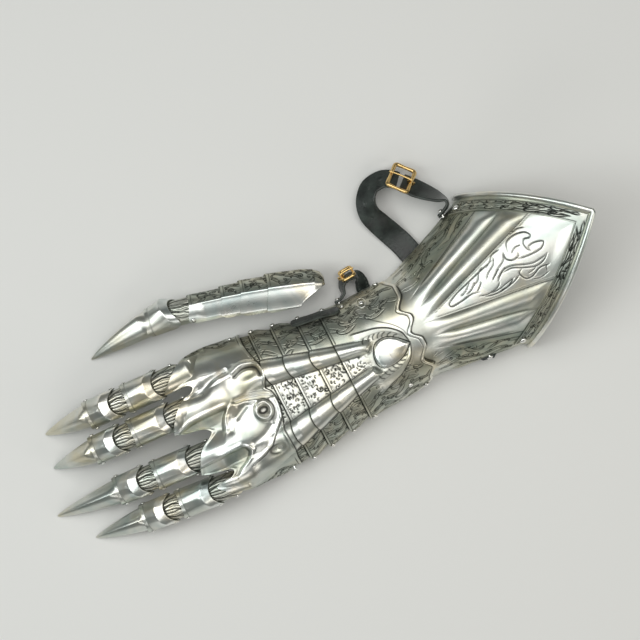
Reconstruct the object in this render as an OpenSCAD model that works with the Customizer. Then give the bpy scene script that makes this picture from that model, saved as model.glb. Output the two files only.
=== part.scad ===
// Steel gauntlet for a left hand, back of the hand up, resting on its lower edges.
// +Y points to the fingertips, +X to the thumb, +Z up. Millimetres.

/* [Plates] */
// Thickness of the steel plates
plate_t = 1.2; // [1:0.1:1.4]
// Step that each back-of-hand plate drops to pass under the one behind it
lame_drop = 2.6; // [2.4:0.1:3]
// Height of the two tendon ridges on the back of the hand
ridge_h = 5.5; // [3:0.5:6]
// Height of the two swellings on the knuckle plate
dome_h = 8; // [6:0.5:9]

/* [Fingers] */
// Outer radius of the finger plates
finger_r = 11.8; // [11.6:0.1:12]
// Outer radius of the fan plates that turn inside the finger plates
fan_r = 10.1; // [9.9:0.1:10.2]
// Height of the crest across each finger plate
crest_h = 1.8; // [0:0.2:2.4]

/* [Thumb] */
// Outer radius of the thumb's base plate
thumb_r = 17.6; // [17.2:0.1:18]
// Lean of the thumb's back towards the outside
thumb_lean = 48; // [44:1:50]

/* [Rivets] */
// Radius of a rivet's shank
shank_r = 1.2; // [1:0.05:1.3]
// Radius of a rivet's domed head
head_r = 2.2; // [1.8:0.1:2.6]
// Radial clearance of a rivet in the plate that turns on it
turn_gap = 0.08; // [0.04:0.01:0.1]

/* [Straps] */
// Width of the forearm strap
strap_w = 19; // [16:1:20]
// Thickness of the leather
strap_t = 2.4; // [1.8:0.1:2.8]

/* [Hidden] */
// centre of the whole object's box in the hand's own axes
cx = 36.04;
cy = 63.6;

steel = [0.78, 0.79, 0.76];
bright = [0.88, 0.88, 0.85];
leather = [0.08, 0.10, 0.09];
brass = [0.80, 0.62, 0.30];

// ---------- the surface of cuff and back of hand ----------
XC = [[-190, 22.5], [-93, 15], [-45, 8], [-3, 3.2], [26, 1.6], [66, 2], [101, 3.2], [135, 4.2], [165, 5.5], [195, 6]];
HW = [[-190, 88], [-93, 63.5], [-45, 50.5], [-20, 45], [-3, 42.6], [26, 44.6], [62, 49.5], [101, 56], [135, 58.5], [160, 60], [195, 60]];
HH = [[-190, 96], [-93, 73], [-45, 60.5], [-20, 56], [-3, 54], [26, 54], [62, 54.5], [101, 53], [135, 50], [165, 46], [195, 42]];
NN = [[-190, 2.15], [-93, 2.25], [-3, 2.5], [60, 2.8], [165, 2.9], [195, 2.9]];
Z0 = [[-190, 0], [-93, 0], [-82, 0], [-72, 4], [-60, 7.5], [-34, 7.5], [-22, 3], [-14, 0], [-4, 0], [2, 5], [18, 5], [28, 1.5], [110, 1.5], [118, 0], [150, 0], [195, 0]];
// tendon ridges: centre x and half width along y
R1 = [[0, 4], [20, 6], [103, 24.5], [125, 30]];
R2 = [[0, -9], [23, -12.6], [104, -28.5], [125, -33]];
RW = [[0, 3.5], [20, 5], [103, 10.5], [130, 13]];
function sg(v) = v < 0 ? -1 : 1;
function sp(v, e) = sg(v) * pow(abs(v), e);
function sm(a, b, v) = let(u = max(0, min(1, (v - a) / (b - a)))) u * u * (3 - 2 * u);
function pipe(u) = abs(u) >= 1 ? 0 : pow(1 - u * u, 0.8);
function ridges(x, y) = ridge_h * sm(14, 34, y) * (1 - sm(112, 128, y))
  * max(pipe((x - lookup(y, R1)) / lookup(y, RW)), pipe((x - lookup(y, R2)) / lookup(y, RW)));
function blob(x, y, px, py, rx, ry) = let(q = pow((x - px) / rx, 2) + pow((y - py) / ry, 2)) exp(-q * 1.2);
function domes(x, y) = dome_h * sm(116, 140, y) * (max(blob(x, y, 42, 158, 21, 30), 1.0 * blob(x, y, 25, 158, 16, 34)) + 0.75 * max(blob(x, y, -13, 158, 13, 30), 0.9 * blob(x, y, -38, 158, 11, 28)));
// two raised half-round flutes each side of the cuff's central fan, meeting at the wrist
function flutes(x, y) = y > -16 ? 0 : let(q = abs(x - 0.9 + 0.11 * y), a = max(0, -0.245 * (y + 20)), b = 13.75 - 0.385 * y, m = a + 0.52 * (b - a))
  sm(-18, -50, y) * (q < a ? -0.5 : q < m ? -1.2 + 2.4 * pipe((2 * q - a - m) / (m - a)) : q < b ? -1.2 + 2.4 * pipe((2 * q - m - b) / (b - m)) : 0);
// height of a tunnel over each finger's pivot, so the plate clears the fan plates
function hump1(x, y, c) = let(q = x - c[0][0] - (y - c[0][1]) * tan(c[1]), r = 12.7 + 1.9 * sm(177, 185, y))
  abs(q) >= r ? -1 : c[0][2] - max(0, y - c[0][1]) * tan(c[2][0]) + sqrt(r * r - q * q) - 14 * (1 - sm(c[0][1] - 26, c[0][1] - 11, y));
function hump(x, y) = y < 140 ? -1 : max([for (c = F) hump1(x, y, c)]);
// point of the surface, f from -90 (little finger side) to 90 (thumb side)
function srf(y, f, off, bump = 1) = let(
    e = 2 / lookup(y, NN), hw = lookup(y, HW), z0 = lookup(y, Z0), hh = lookup(y, HH) - z0,
    s = sin(f), c = cos(f),
    x = lookup(y, XC) + hw * sp(s, e), z = z0 + hh * pow(max(c, 0), e),
    nx = sp(s, 2 - e) / hw, nz = pow(max(c, 0), 2 - e) / hh, nl = sqrt(nx * nx + nz * nz),
    d0 = bump * (ridges(x, y) + domes(x, y) + flutes(x, y)),
    px = x + d0 * nx / nl, pz = z + d0 * nz / nl, lift = max(0, hump(px, y) - pz))
  [px + off * nx / nl, y, pz + lift + off * nz / nl];

// ---------- a thin shell from two grids of points ----------
// rows of outer points and rows of inner points, both listed along the piece
module shell(o, i) {
  n = len(o); m = len(o[0]);
  pts = concat([for (r = o) for (p = r) p], [for (r = i) for (p = r) p]);
  k = n * m;
  polyhedron(points = pts, convexity = 8, faces = [for (t = concat(
    [for (a = [0 : n - 2], b = [0 : m - 2], h = [0, 1]) h == 0
      ? [a * m + b, a * m + b + 1, (a + 1) * m + b + 1] : [a * m + b, (a + 1) * m + b + 1, (a + 1) * m + b]],
    [for (a = [0 : n - 2], b = [0 : m - 2], h = [0, 1]) h == 0
      ? [k + a * m + b, k + (a + 1) * m + b + 1, k + a * m + b + 1] : [k + a * m + b, k + (a + 1) * m + b, k + (a + 1) * m + b + 1]],
    [for (b = [0 : m - 2], h = [0, 1]) h == 0 ? [b, k + b + 1, b + 1] : [b, k + b, k + b + 1]],
    [for (b = [0 : m - 2], q = (n - 1) * m, h = [0, 1]) h == 0 ? [q + b, q + b + 1, k + q + b + 1] : [q + b, k + q + b + 1, k + q + b]],
    [for (a = [0 : n - 2], h = [0, 1]) h == 0 ? [a * m, (a + 1) * m, k + (a + 1) * m] : [a * m, k + (a + 1) * m, k + a * m]],
    [for (a = [0 : n - 2], q = m - 1, h = [0, 1]) h == 0 ? [a * m + q, k + (a + 1) * m + q, (a + 1) * m + q] : [a * m + q, k + a * m + q, k + (a + 1) * m + q]])) [t[0], t[2], t[1]]]);
}
// a band of the hand surface between a rear and a front edge; edges are [rear y, front y] per column
module band(fs, ys, us, offs, t, bump = 1)
  shell([for (j = [0 : len(us) - 1]) [for (i = [0 : len(fs) - 1]) srf(ys[i][0] + (ys[i][1] - ys[i][0]) * us[j], fs[i], offs[j], bump)]],
        [for (j = [0 : len(us) - 1]) [for (i = [0 : len(fs) - 1]) srf(ys[i][0] + (ys[i][1] - ys[i][0]) * us[j], fs[i], offs[j] - t, bump)]]);
module place() translate([-cx, -cy, 0]) children();
// a cylinder along X from x0 to x1 at height z and station y
module bar(x0, x1, y, z, r) translate([x0, y, z]) rotate([0, 90, 0]) cylinder(h = x1 - x0, r = r, $fn = 48);
// domed rivet whose head points to +X (side 1) or -X (side -1); shank runs inwards
module rivet(x, y, z, side, len, r = head_r, foot = true) translate([x, y, z]) scale([1, 1, 1]) rotate([0, side > 0 ? 90 : -90, 0]) {
  rotate_extrude($fn = 32) polygon(concat([[0, -len], [shank_r, -len], [shank_r, 0], [r, 0]],
    [for (a = [20 : 20 : 80]) [r * cos(a), 0.62 * r * sin(a)]], [[0, 0.62 * r]]));
  if (foot) translate([0, 0, -len - 0.7]) cylinder(h = 0.7, r = shank_r + 0.6, $fn = 32);
}

// ---------- cuff ----------
CF = [-90, -84, -77, -70, -63, -57, -52, -47, -42, -37, -32, -27, -22, -17, -11, -6, 0, 6, 11, 17, 22, 27, 32, 37, 42, 47, 52, 57, 63, 70, 77, 84, 90];
function cuff_rear(f) = let(a = abs(sp(sin(f), 0.92))) -177 + 86 * a - 3 * a * (1 - a);
function cuff_front(f) = -2 + (abs(f) > 60 ? 4.5 * sm(60, 72, abs(f)) - 12 * sm(78, 90, abs(f)) : 0);
function flare(d) = d < 6 ? 3.4 * pow(1 - d / 6, 2) : 0;
// rows: first at fixed distances from the rear edge, then shares of what is left
CD = [0, 1.6, 3.6, 8.6, 17.6];
CV = [0.2, 0.4, 0.6, 0.78, 0.9, 1];
function cuff_off(y, d) = flare(d) - 1.1 * sm(-34, -20, y);
function cuff_rows(t) = concat([for (d = CD) [for (f = CF) let(y = cuff_rear(f) + d) srf(y, f, cuff_off(y, d) - t)]],
  [for (v = CV) [for (f = CF) let(a = cuff_rear(f) + 17.6, y = a + (cuff_front(f) - a) * v) srf(y, f, cuff_off(y, 99) - t)]]);
module cuff_plate() place() color(steel) difference() {
  shell(cuff_rows(0), cuff_rows(plate_t));
  bar(-60, 60, -3, 20, shank_r + turn_gap);
  bar(-60, -20, -57.5, 21, shank_r + 0.02);
  bar(60, 90, -75, 15, shank_r + 0.02);
  for (p = CUFF_HOLES) translate(p[0]) rotate(p[1]) cylinder(h = 12, r = shank_r + 0.02, center = true, $fn = 32);
}
// engraved band along the pointed rear edge
module cuff_border_band() place() color(bright) {
  fs = [for (k = [3 : 29]) CF[k]];
  ds = [1.6, 3.6, 8.6, 17.6];
  difference() {
    shell([for (d = ds) [for (f = fs) srf(cuff_rear(f) + d, f, 1.15 + flare(d))]], [for (d = ds) [for (f = fs) srf(cuff_rear(f) + d, f, 0.08 + flare(d))]]);
    for (p = CUFF_HOLES) translate(p[0]) rotate(p[1]) cylinder(h = 12, r = shank_r + 0.02, center = true, $fn = 32);
  }
}
// rivets of the band: angle round the cuff, distance from the rear edge
BR = [-66, 66];
function cuff_dir(y, f) = let(p = srf(y, f, 0), q = srf(y, f, 1)) q - p;
function tilt(v) = [0, acos(v[2] / norm(v)), atan2(v[1], v[0])];
CUFF_HOLES = [for (f = BR) let(y = cuff_rear(f) + 12) [srf(y, f, 0.5), tilt(cuff_dir(y, f))]];
module dome_rivet(p, dir, len, r = head_r) translate(p) rotate(dir) rotate_extrude($fn = 32)
  polygon(concat([[0, -len], [shank_r, -len], [shank_r, 0], [r, 0]], [for (a = [20 : 20 : 80]) [r * cos(a), 0.62 * r * sin(a)]], [[0, 0.62 * r]]));
module cuff_rivets() place() color(bright) {
  for (f = BR) let(y = cuff_rear(f) + 12) dome_rivet(srf(y, f, 1.2), tilt(cuff_dir(y, f)), 3, 2.8);
  rivet(-44.1, -57.5, 21, -1, 9.6, 2.6);
  rivet(75.4, -75, 15, 1, 7, 2.6);
}

// ---------- straps ----------
// centre points of a strap with the lean of its width: [x, y, z, lean], lean 0 is upright, 90 is flat
function r_dir(p, i) = let(a = p[max(i - 1, 0)], b = p[min(i + 1, len(p) - 1)], d = [b[0] - a[0], b[1] - a[1], b[2] - a[2]]) d / norm(d);
function r_wid(p, i) = let(d = r_dir(p, i), l = p[i][3], q = norm([d[0], d[1]]), w = [d[1] / q * sin(l), -d[0] / q * sin(l), cos(l)], v = w - d * (w * d)) v / norm(v);
module ribbon(pts, w, t) {
  n = len(pts);
  polyhedron(convexity = 8, points = [for (i = [0 : n - 1], c = [[-1, -1], [1, -1], [1, 1], [-1, 1]])
      [pts[i][0], pts[i][1], pts[i][2]] + r_wid(pts, i) * c[0] * w / 2 + cross(r_wid(pts, i), r_dir(pts, i)) * c[1] * t / 2],
    faces = concat([[0, 2, 1], [0, 3, 2]], [for (i = [0 : n - 2], k = [0 : 3], h = [0, 1]) let(a = i * 4 + k, b = i * 4 + (k + 1) % 4)
      h == 0 ? [a, b, b + 4] : [a, b + 4, a + 4]], [[n * 4 - 4, n * 4 - 3, n * 4 - 2], [n * 4 - 4, n * 4 - 2, n * 4 - 1]]));
}
function cr(p, i, u) = let(a = p[max(i - 1, 0)], b = p[i], c = p[i + 1], d = p[min(i + 2, len(p) - 1)])
  0.5 * (2 * b + (c - a) * u + (2 * a - 5 * b + 4 * c - d) * u * u + (3 * b - a - 3 * c + d) * u * u * u);
function smooth(p, k) = concat([for (i = [0 : len(p) - 2], j = [0 : k - 1]) cr(p, i, j / k)], [p[len(p) - 1]]);
// forearm strap: tab at the thumb-side corner, loop out past the buckle, under the forearm to the little finger side
// short points: [x, y, z, lean of the width]
LONG = [[112.2, -56, 13.7, -48], [116.6, -50.8, 13.7, -48], [119.15, -43.8, 13.7, -48], [117.6, -33.6, 13.5, -49], [109.4, -26.2, 13, -52], [99, -24.4, 11, -60], [88, -28, 7, -72],
  [76, -33, 3.4, -84], [62, -38, 2.4, -90], [30, -45, 2.2, -90], [0, -50, 2.2, -90], [-20, -54, 2.6, -90], [-29.5, -56, 4.4, -90], [-35.6, -57.2, 10, -90], [-37.2, -57.5, 18, -90], [-37, -57.6, 27, -90]];
SHORT = [[72.1, -71.5, 15, -3], [74.7, -77.6, 15, -3], [77.6, -82.2, 15, -4], [82, -82.6, 15, -8], [87.6, -77.4, 14.8, -28], [98.7, -67.3, 13.8, -47.8], [104.1, -62.8, 13.7, -48], [109.9, -57.9, 13.7, -48]];
module cuff_strap_long() place() color(leather) difference() { ribbon(smooth(LONG, 3), strap_w, strap_t); bar(-60, -20, -57.5, 21, shank_r + 0.02); }
module cuff_strap_short() place() color(leather) difference() { ribbon(smooth(SHORT, 3), strap_w, strap_t); bar(60, 78, -75, 15, shank_r + 0.02); }
// buckle: a rounded rectangular wire frame, local +X is the strap's direction
module buckle(w, l, r) {
  for (s = [-1, 1]) translate([s * l / 2, 0, 0]) rotate([90, 0, 0]) cylinder(h = w, r = r, center = true, $fn = 32);
  for (s = [-1, 1]) translate([0, s * w / 2, 0]) rotate([0, 90, 0]) cylinder(h = l, r = r, center = true, $fn = 32);
  for (s = [-1, 1], q = [-1, 1]) translate([s * l / 2, q * w / 2, 0]) sphere(r = r, $fn = 32);
}
module prong(l, r) {
  rotate([90, 0, 0]) difference() { cylinder(h = 3, r = r + 1.4, center = true, $fn = 48); cylinder(h = 4, r = r + 0.08, center = true, $fn = 48); }
  translate([0, 0, r + 1.1]) rotate([0, 87.5, 0]) cylinder(h = l, r = 0.9, $fn = 32);
}
// buckles lie on the outer face of the strap ends: position, turn about Z, lean, lift off the strap
CB = [111, -57, 13.7]; CB_turn = 40; CB_lean = 42;
WB = [62.3, 13, 10.8]; WB_turn = -86; WB_lean = -62;
module at(p, turn, lean) translate(p) rotate([0, 0, turn]) rotate([lean, 0, 0]) children();
module cuff_buckle_frame() place() color(brass) at(CB, CB_turn, CB_lean) translate([0, 0, strap_t / 2 + 3]) buckle(25, 17, 1.5);
module cuff_buckle_prong() place() color(brass) at(CB, CB_turn, CB_lean) translate([-8.5, 0, strap_t / 2 + 3]) prong(19, 1.5);
module wrist_buckle_frame() place() color(brass) at(WB, WB_turn, WB_lean) translate([0, 0, 3.3]) buckle(15, 10, 1.2);
module wrist_buckle_prong() place() color(brass) at(WB, WB_turn, WB_lean) translate([-5, 0, 3.3]) prong(11.6, 1.2);
WSTRAP = [[48.9, 32, 9.5, 3], [49.8, 26.5, 9.5, 4], [52.6, 22.6, 9.6, 10], [57.6, 21.4, 10, 18], [61.2, 18.4, 10.6, 27], [62.1, 12.5, 10.8, 28], [60.8, 6.8, 10.2, 34],
  [55, 5.8, 7.2, 58], [47.5, 6.8, 3.4, 84], [36, 7, 2, 90], [20, 7, 2, 90]];
module wrist_strap() place() color(leather) difference() { ribbon(smooth(WSTRAP, 3), 11.5, 2); bar(40, 52, 29, 9.5, shank_r + 0.02); }

// ---------- wrist plate ----------
WF = [for (k = [-15 : 15]) k * 6];
// rear edge: lobes over the cuff between cusps
function lobes(x) = let(c = [-36, -21, 1.5, 21, 45], d = min([for (q = c) abs(x - q)])) -10 - 6.5 * sm(0, 9, d);
function wrist_rear(f) = let(x = srf(-8, f, 0)[0], a = abs(f)) a < 62 ? lobes(x) : a < 68 ? -11 + (a - 62) * 0.3 : a < 76 ? -9.2 + (a - 68) * 0.5 : -5.2 + (a - 76) * 0.95;
WY = [for (f = WF) [wrist_rear(f), 48]];
WO = [2.1, 2.1, 2.0, 1.4, 0.6, 0, 0];
module side_bar(y, z, r) bar(-90, 90, y, z, r);
module wrist_plate() place() color(steel) difference() {
  band(WF, WY, [0, 0.12, 0.25, 0.4, 0.6, 0.8, 1], WO, plate_t);
  side_bar(-3, 20, shank_r + 0.02);
  side_bar(44, 17, shank_r + 0.02);
  bar(40, 60, 29, 9.5, shank_r + 0.02);
  for (r = WR) translate(at_xy(r[0], r[1], 1)) rotate(wr_dir(r)) cylinder(h = 12, r = shank_r + 0.02, center = true, $fn = 32);
}
// domed rivets on the back of the wrist plate: x, y, offset of the plate's outer face, head radius
WR = [[38.2, 13.9, 1.55, 2.1], [43, 28.6, 0.8, 1.7], [-33.6, 8.4, 1.8, 2]];
function wr_dir(r) = tilt(at_xy(r[0], r[1], 2) - at_xy(r[0], r[1], 1));
// raised spade-shaped boss on the wrist
BOSS = [[-4.4, -5.9], [-0.6, -2], [2.8, 1.6], [6.5, 7], [7.6, 13.2], [6.1, 18.9], [1.2, 22.6], [-4.7, 24.4], [-9.8, 23.9], [-13.4, 20.9], [-14, 14.4], [-13.2, 7.8], [-10.7, 1.6], [-7, -3.3]];
BOSS_C = [-3.6, 12];
function at_xy(x, y, off) = let(e = 2 / lookup(y, NN), s = (x - lookup(y, XC)) / lookup(y, HW), f = asin(sp(s, 1 / e))) srf(y, f, off);
module wrist_boss() place() color(bright) {
  n = len(BOSS);
  pts = [for (q = [[1, 2.45], [0.96, 4.4], [0.75, 5.2], [0.35, 5.5]], k = [0 : n - 1]) let(p = BOSS_C + (BOSS[k] - BOSS_C) * q[0]) at_xy(p[0], p[1], q[1] - ridges(p[0], p[1]))];
  top = at_xy(BOSS_C[0], BOSS_C[1], 5.6 - ridges(BOSS_C[0], BOSS_C[1]));
  low = at_xy(BOSS_C[0], BOSS_C[1], 2.45 - ridges(BOSS_C[0], BOSS_C[1]));
  polyhedron(convexity = 4, points = concat(pts, [top, low]), faces = concat(
    [for (k = [0 : n - 1]) [k, (k + 1) % n, 4 * n + 1]],
    [for (j = [0 : 2], k = [0 : n - 1], h = [0, 1]) let(a = j * n + k, b = j * n + (k + 1) % n) h == 0 ? [a, b + n, b] : [a, a + n, b + n]],
    [for (k = [0 : n - 1]) [3 * n + k, 4 * n, 3 * n + (k + 1) % n]]));
}
function xs(y, z, side) = let(e = 2 / lookup(y, NN), z0 = lookup(y, Z0), c = pow((z - z0) / (lookup(y, HH) - z0), 1 / e)) lookup(y, XC) + side * lookup(y, HW) * pow(sin(acos(c)), e);
module pivot_pair(y, z, out, len, r = head_r, inner = true) for (s = [-1, 1]) rivet(xs(y, z, s) + s * out, y, z, s, len, r, inner);
module wrist_rivets() place() color(bright) { pivot_pair(-3, 20, 2.3, 5.4, 2.6); pivot_pair(44, 17, 0.35, 5.2); rivet(50.4, 29, 9.5, 1, 5.2, 2);
  for (r = WR) dome_rivet(at_xy(r[0], r[1], r[2]), wr_dir(r), 2.9, r[3]);
}

// ---------- back-of-hand plates ----------
// overlap stations: each plate's rear edge and front edge, and the pivot that carries its rear
LY = [[40.5, 67.5], [60.5, 87.5], [80.5, 105], [98, 123]];
LP = [[44, 17], [64, 17], [84, 17], [101.5, 17], [119, 17]];
LF = [for (k = [-18 : 18]) k * 90 / 18];
function lame_edge(r, f, p) = abs(f) < 60 ? r : r + (p + 1 - r) * 0 + 6 * sm(72, 90, abs(f));
module lame(k) place() color(steel) difference() {
  r = LY[k]; last = k == 3;
  band(LF, [for (f = LF) [lame_edge(r[0], f, LP[k][0]), r[1] - (last ? 0 : 5 * sm(78, 90, abs(f)))]], [0, 0.3, 0.55, 0.8, 1],
    last ? [-lame_drop, -lame_drop * 0.72, -lame_drop * 0.55, -lame_drop - 0.3, -lame_drop - 1.1] : [-lame_drop, -lame_drop * 0.85, -lame_drop * 0.45, 0, 0], plate_t);
  side_bar(LP[k][0], LP[k][1], shank_r + turn_gap);
  if (!last) side_bar(LP[k + 1][0], LP[k + 1][1], shank_r + 0.02);
  else side_bar(LP[4][0], LP[4][1], shank_r + turn_gap);
}
module metacarpal_lame_1() lame(0);
module metacarpal_lame_2() lame(1);
module metacarpal_lame_3() lame(2);
module metacarpal_lame_4() lame(3);
module lame_1_rivets() place() color(bright) pivot_pair(LP[1][0], LP[1][1], 0.35, 5.2);
module lame_2_rivets() place() color(bright) pivot_pair(LP[2][0], LP[2][1], 0.35, 5.2);
module lame_3_rivets() place() color(bright) pivot_pair(LP[3][0], LP[3][1], 0.35, 5.2);

// ---------- knuckle plate ----------
// columns: x of the column at the front, front edge y; prongs and the slots between them
KC = [[-52.5, 140], [-50.5, 152], [-47.5, 163], [-43, 173], [-38, 179.5], [-36, 178.5], [-35, 172], [-34, 165], [-31.5, 161.5], [-29, 164], [-28, 172], [-26.5, 181], [-24.5, 186],
  [-20, 184.5], [-13, 181], [-6, 175.5], [-1.5, 168], [2, 163.5], [5.5, 166], [8, 174], [9.5, 183], [12, 190.5], [16.5, 188.5], [23, 184], [30, 177], [33, 171], [34.5, 164.5], [37.5, 161], [40.2, 164.5],
  [41, 174], [42, 183], [46, 179.5], [50, 174], [55, 167.5], [59.5, 160], [62, 153], [63.5, 144]];
function kx2f(x, y) = let(e = 2 / lookup(y, NN), s = (x - lookup(y, XC)) / lookup(y, HW)) asin(sp(max(-1, min(1, s)), 1 / e));
KF = concat([[-90, 127], [-84, 130], [-78, 134]], [for (c = KC) [kx2f(c[0], 150), c[1]]], [[82, 134], [86, 130], [90, 127]]);
KU = [0, 0.12, 0.28, 0.45, 0.6, 0.72, 0.82, 0.91, 1];
function krear(f) = 109 + 2.5 * sm(60, 84, abs(f)) + 1.5 * cos(f * 4);
module knuckle_plate() place() color(bright) difference() {
  band([for (k = KF) k[0]], [for (k = KF) [krear(k[0]), k[1]]], KU, [0.7, 0.6, 0.5, 0.8, 1.2, 1.2, 1.0, 0.6, 0.3], plate_t);
  side_bar(LP[4][0], LP[4][1], shank_r + 0.02);
}

// ---------- fingers ----------
// pivot of each finger at the knuckle, heading, pitch of the five links, their lengths, height of its bracket
F = [
  [[54, 170, 37.5], 3, [3, 7, 11, 16, 26.6], [15, 25, 11, 22.5, 48], 12],
  [[27, 172, 38.2], 3, [2, 5, 9, 15, 30.1], [16, 30, 12, 21.5, 47.5], 15],
  [[-11.2, 172, 33.5], 4, [4, 8, 12, 16, 15.6], [16, 29, 12, 21, 59], 13],
  [[-41, 168, 28.2], 5, [4, 9, 13, 16, 13], [15, 27, 11, 20.5, 47], 10]];
// joint origins in the finger's own plane, [along, height]
function fj(c, k) = k == 0 ? [0, 0] : fj(c, k - 1) + c[3][k - 1] * [cos(c[2][k - 1]), -sin(c[2][k - 1])];
module link(c, k) translate(c[0]) rotate([0, 0, -c[1]]) translate([0, fj(c, k)[0], fj(c, k)[1]]) rotate([-c[2][k], 0, 0]) children();
A9 = [for (k = [0 : 8]) -90 + k * 22.5];
A11 = [for (k = [0 : 10]) -90 + k * 18];
// ring of a U section at station y: radius, leg length, extra height at the top
function ring(A, y, r, b, top = 0, bow = 0) = concat([[-r, y, -b]], [for (a = A) let(q = r + top * pow(cos(a), 4)) [q * sin(a), y + bow * pow(sin(a), 4), q * cos(a)]], [[r, y, -b]]);
// fan plate: domed at both pivots, 0 and l along y
function leg(q, b) = q == 90 ? b : q > 66 ? 0.45 * b : 0.2;
module fan(l, r, t = 1.1, swing = 42, b = 3) difference() {
  a = [90 - swing, 90 - swing / 2, 90];
  shell(concat([for (q = a) ring(A9, -r * cos(q), r * sin(q), leg(q, b))], [for (q = [a[2], a[1], a[0]]) ring(A9, l + r * cos(q), r * sin(q), leg(q, b))]),
        concat([for (q = a) ring(A9, -(r - t) * cos(q), (r - t) * sin(q), leg(q, b))], [for (q = [a[2], a[1], a[0]]) ring(A9, l + (r - t) * cos(q), (r - t) * sin(q), leg(q, b))]));
  for (y = [0, l]) bar(-r - 2, r + 2, y, 0, shank_r + turn_gap);
}
// outer plate between two pivots, 0 and l, with a crest across its rear third
module outer_plate(l, r, t = plate_t, front = 1, rear = 1, rf = 0) difference() {
  r2 = r - rf;
  shell([for (q = [[-rear, r, 2.7, 0, -2.6], [0.6, r, 3.6, crest_h * 0.5, -1.4], [3.6, r, 4, crest_h, 0], [7.5, r, 3.6, crest_h * 0.3, 0], [l - 3.6, r2, 3.8, 0, 0], [l - 0.4, r2, 3.4, 0, 1.4], [l + front, r2, 2.7, 0, 2.6]]) ring(A11, q[0], q[1], q[2], q[3], q[4])],
        [for (q = [[-rear, r, 2.7, 0, -2.6], [0.6, r, 3.6, crest_h * 0.5, -1.4], [3.6, r, 4, crest_h, 0], [7.5, r, 3.6, crest_h * 0.3, 0], [l - 3.6, r2, 3.8, 0, 0], [l - 0.4, r2, 3.4, 0, 1.4], [l + front, r2, 2.7, 0, 2.6]]) ring(A11, q[0], q[1] - t, q[2], q[3], q[4])]);
  for (y = [0, l]) bar(-r - 4, r + 4, y, 0, shank_r + 0.02);
}
module pivots(ys, r, len = 3.4) for (y = ys, s = [-1, 1]) rivet(s * (r + 0.02), y, 0, s, len, head_r, true);
// claw: domed rear turning about y = 0, drawn out to a ridged point
module claw_body(l, r, t = 1.1, hook = 4) difference() {
  us = [0.08, 0.22, 0.4, 0.6, 0.78, 0.92, 1];
  shell(concat([for (q = [52, 72, 90]) ring(A9, -r * cos(q), r * sin(q), leg(q, 2.6))],
      [for (u = us) let(w = u == 1 ? 0.55 : 0.5 + (r - 0.5) * pow(1 - u, 0.72) * (1 + 0.05 * sin(u * 180))) [for (p = ring(A9, l * u, w, claw_leg(u), 0.12 * w)) p - [0, 0, hook * u * u]]]),
    concat([for (q = [52, 72, 90]) ring(A9, -(r - t) * cos(q), (r - t) * sin(q), leg(q, 2.6))],
      [for (u = us) let(w = max(0.3, u == 1 ? 0.3 : 0.5 + (r - 0.5) * pow(1 - u, 0.72) * (1 + 0.05 * sin(u * 180)) - t)) [for (p = ring(A9, l * u - (u == 1 ? 2 : 0), w, claw_leg(u), 0.12 * w)) p - [0, 0, hook * u * u]]]));
  bar(-r - 2, r + 2, 0, 0, shank_r + turn_gap);
}
function claw_leg(u) = (u < 0.3 ? 3.4 : 3.4 * (1 - u) / 0.7) + 0.1;
module f_fan1(c) place() color(steel) link(c, 0) fan(c[3][0], fan_r);
module f_prox(c) place() color(bright) link(c, 1) outer_plate(c[3][1], finger_r);
module f_fan2(c) place() color(steel) link(c, 2) fan(c[3][2], fan_r);
module f_mid(c) place() color(bright) link(c, 3) outer_plate(c[3][3], finger_r, rf = 0.2);
module f_claw(c) place() color(bright) link(c, 4) claw_body(c[3][4], fan_r);
module f_rv1(c) place() color(bright) link(c, 1) pivots([0, c[3][1]], finger_r);
module f_rv2(c) place() color(bright) link(c, 3) pivots([0, c[3][3]], finger_r);
module index_knuckle_lame() f_fan1(F[0]);
module index_proximal_plate() f_prox(F[0]);
module index_middle_lame() f_fan2(F[0]);
module index_middle_plate() f_mid(F[0]);
module index_claw() f_claw(F[0]);
module index_proximal_rivets() f_rv1(F[0]);
module index_middle_rivets() f_rv2(F[0]);
module middle_knuckle_lame() f_fan1(F[1]);
module middle_proximal_plate() f_prox(F[1]);
module middle_middle_lame() f_fan2(F[1]);
module middle_middle_plate() f_mid(F[1]);
module middle_claw() f_claw(F[1]);
module middle_proximal_rivets() f_rv1(F[1]);
module middle_middle_rivets() f_rv2(F[1]);
module ring_knuckle_lame() f_fan1(F[2]);
module ring_proximal_plate() f_prox(F[2]);
module ring_middle_lame() f_fan2(F[2]);
module ring_middle_plate() f_mid(F[2]);
module ring_claw() f_claw(F[2]);
module ring_proximal_rivets() f_rv1(F[2]);
module ring_middle_rivets() f_rv2(F[2]);
module little_knuckle_lame() f_fan1(F[3]);
module little_proximal_plate() f_prox(F[3]);
module little_middle_lame() f_fan2(F[3]);
module little_middle_plate() f_mid(F[3]);
module little_claw() f_claw(F[3]);
module little_proximal_rivets() f_rv1(F[3]);
module little_middle_rivets() f_rv2(F[3]);
// brackets under the knuckle plate that carry the four fingers: two ears, two arms, one foot
module finger_hinge_brackets() place() color(steel) for (c = F) link(c, 0) difference() {
  r = fan_r - 1.1 - 0.75 - 0.3;
  union() {
    for (s = [-1, 1]) {
      bar(s > 0 ? r - 1 : -r, s > 0 ? r : -r + 1, 0, 0, 3);
      translate([s > 0 ? r - 1 : -r, -14, -3.8]) cube([1, 14, 2.2]);
      translate([s > 0 ? r - 1 : -r, -16.5, -3.8]) cube([1, 2.6, c[4]]);
    }
    translate([-r, -16.5, -3.8]) cube([2 * r, 1.2, c[4]]);
  }
  bar(-r - 2, r + 2, 0, 0, shank_r + 0.02);
}
module knuckle_rivets() place() color(bright) {
  pivot_pair(LP[4][0], LP[4][1], 0.72, 6.4);
  for (c = F) link(c, 0) for (s = [-1, 1]) rivet(s * (fan_r + 0.12), 0, 0, s, 3.5, 1.7, false);
}

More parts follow.
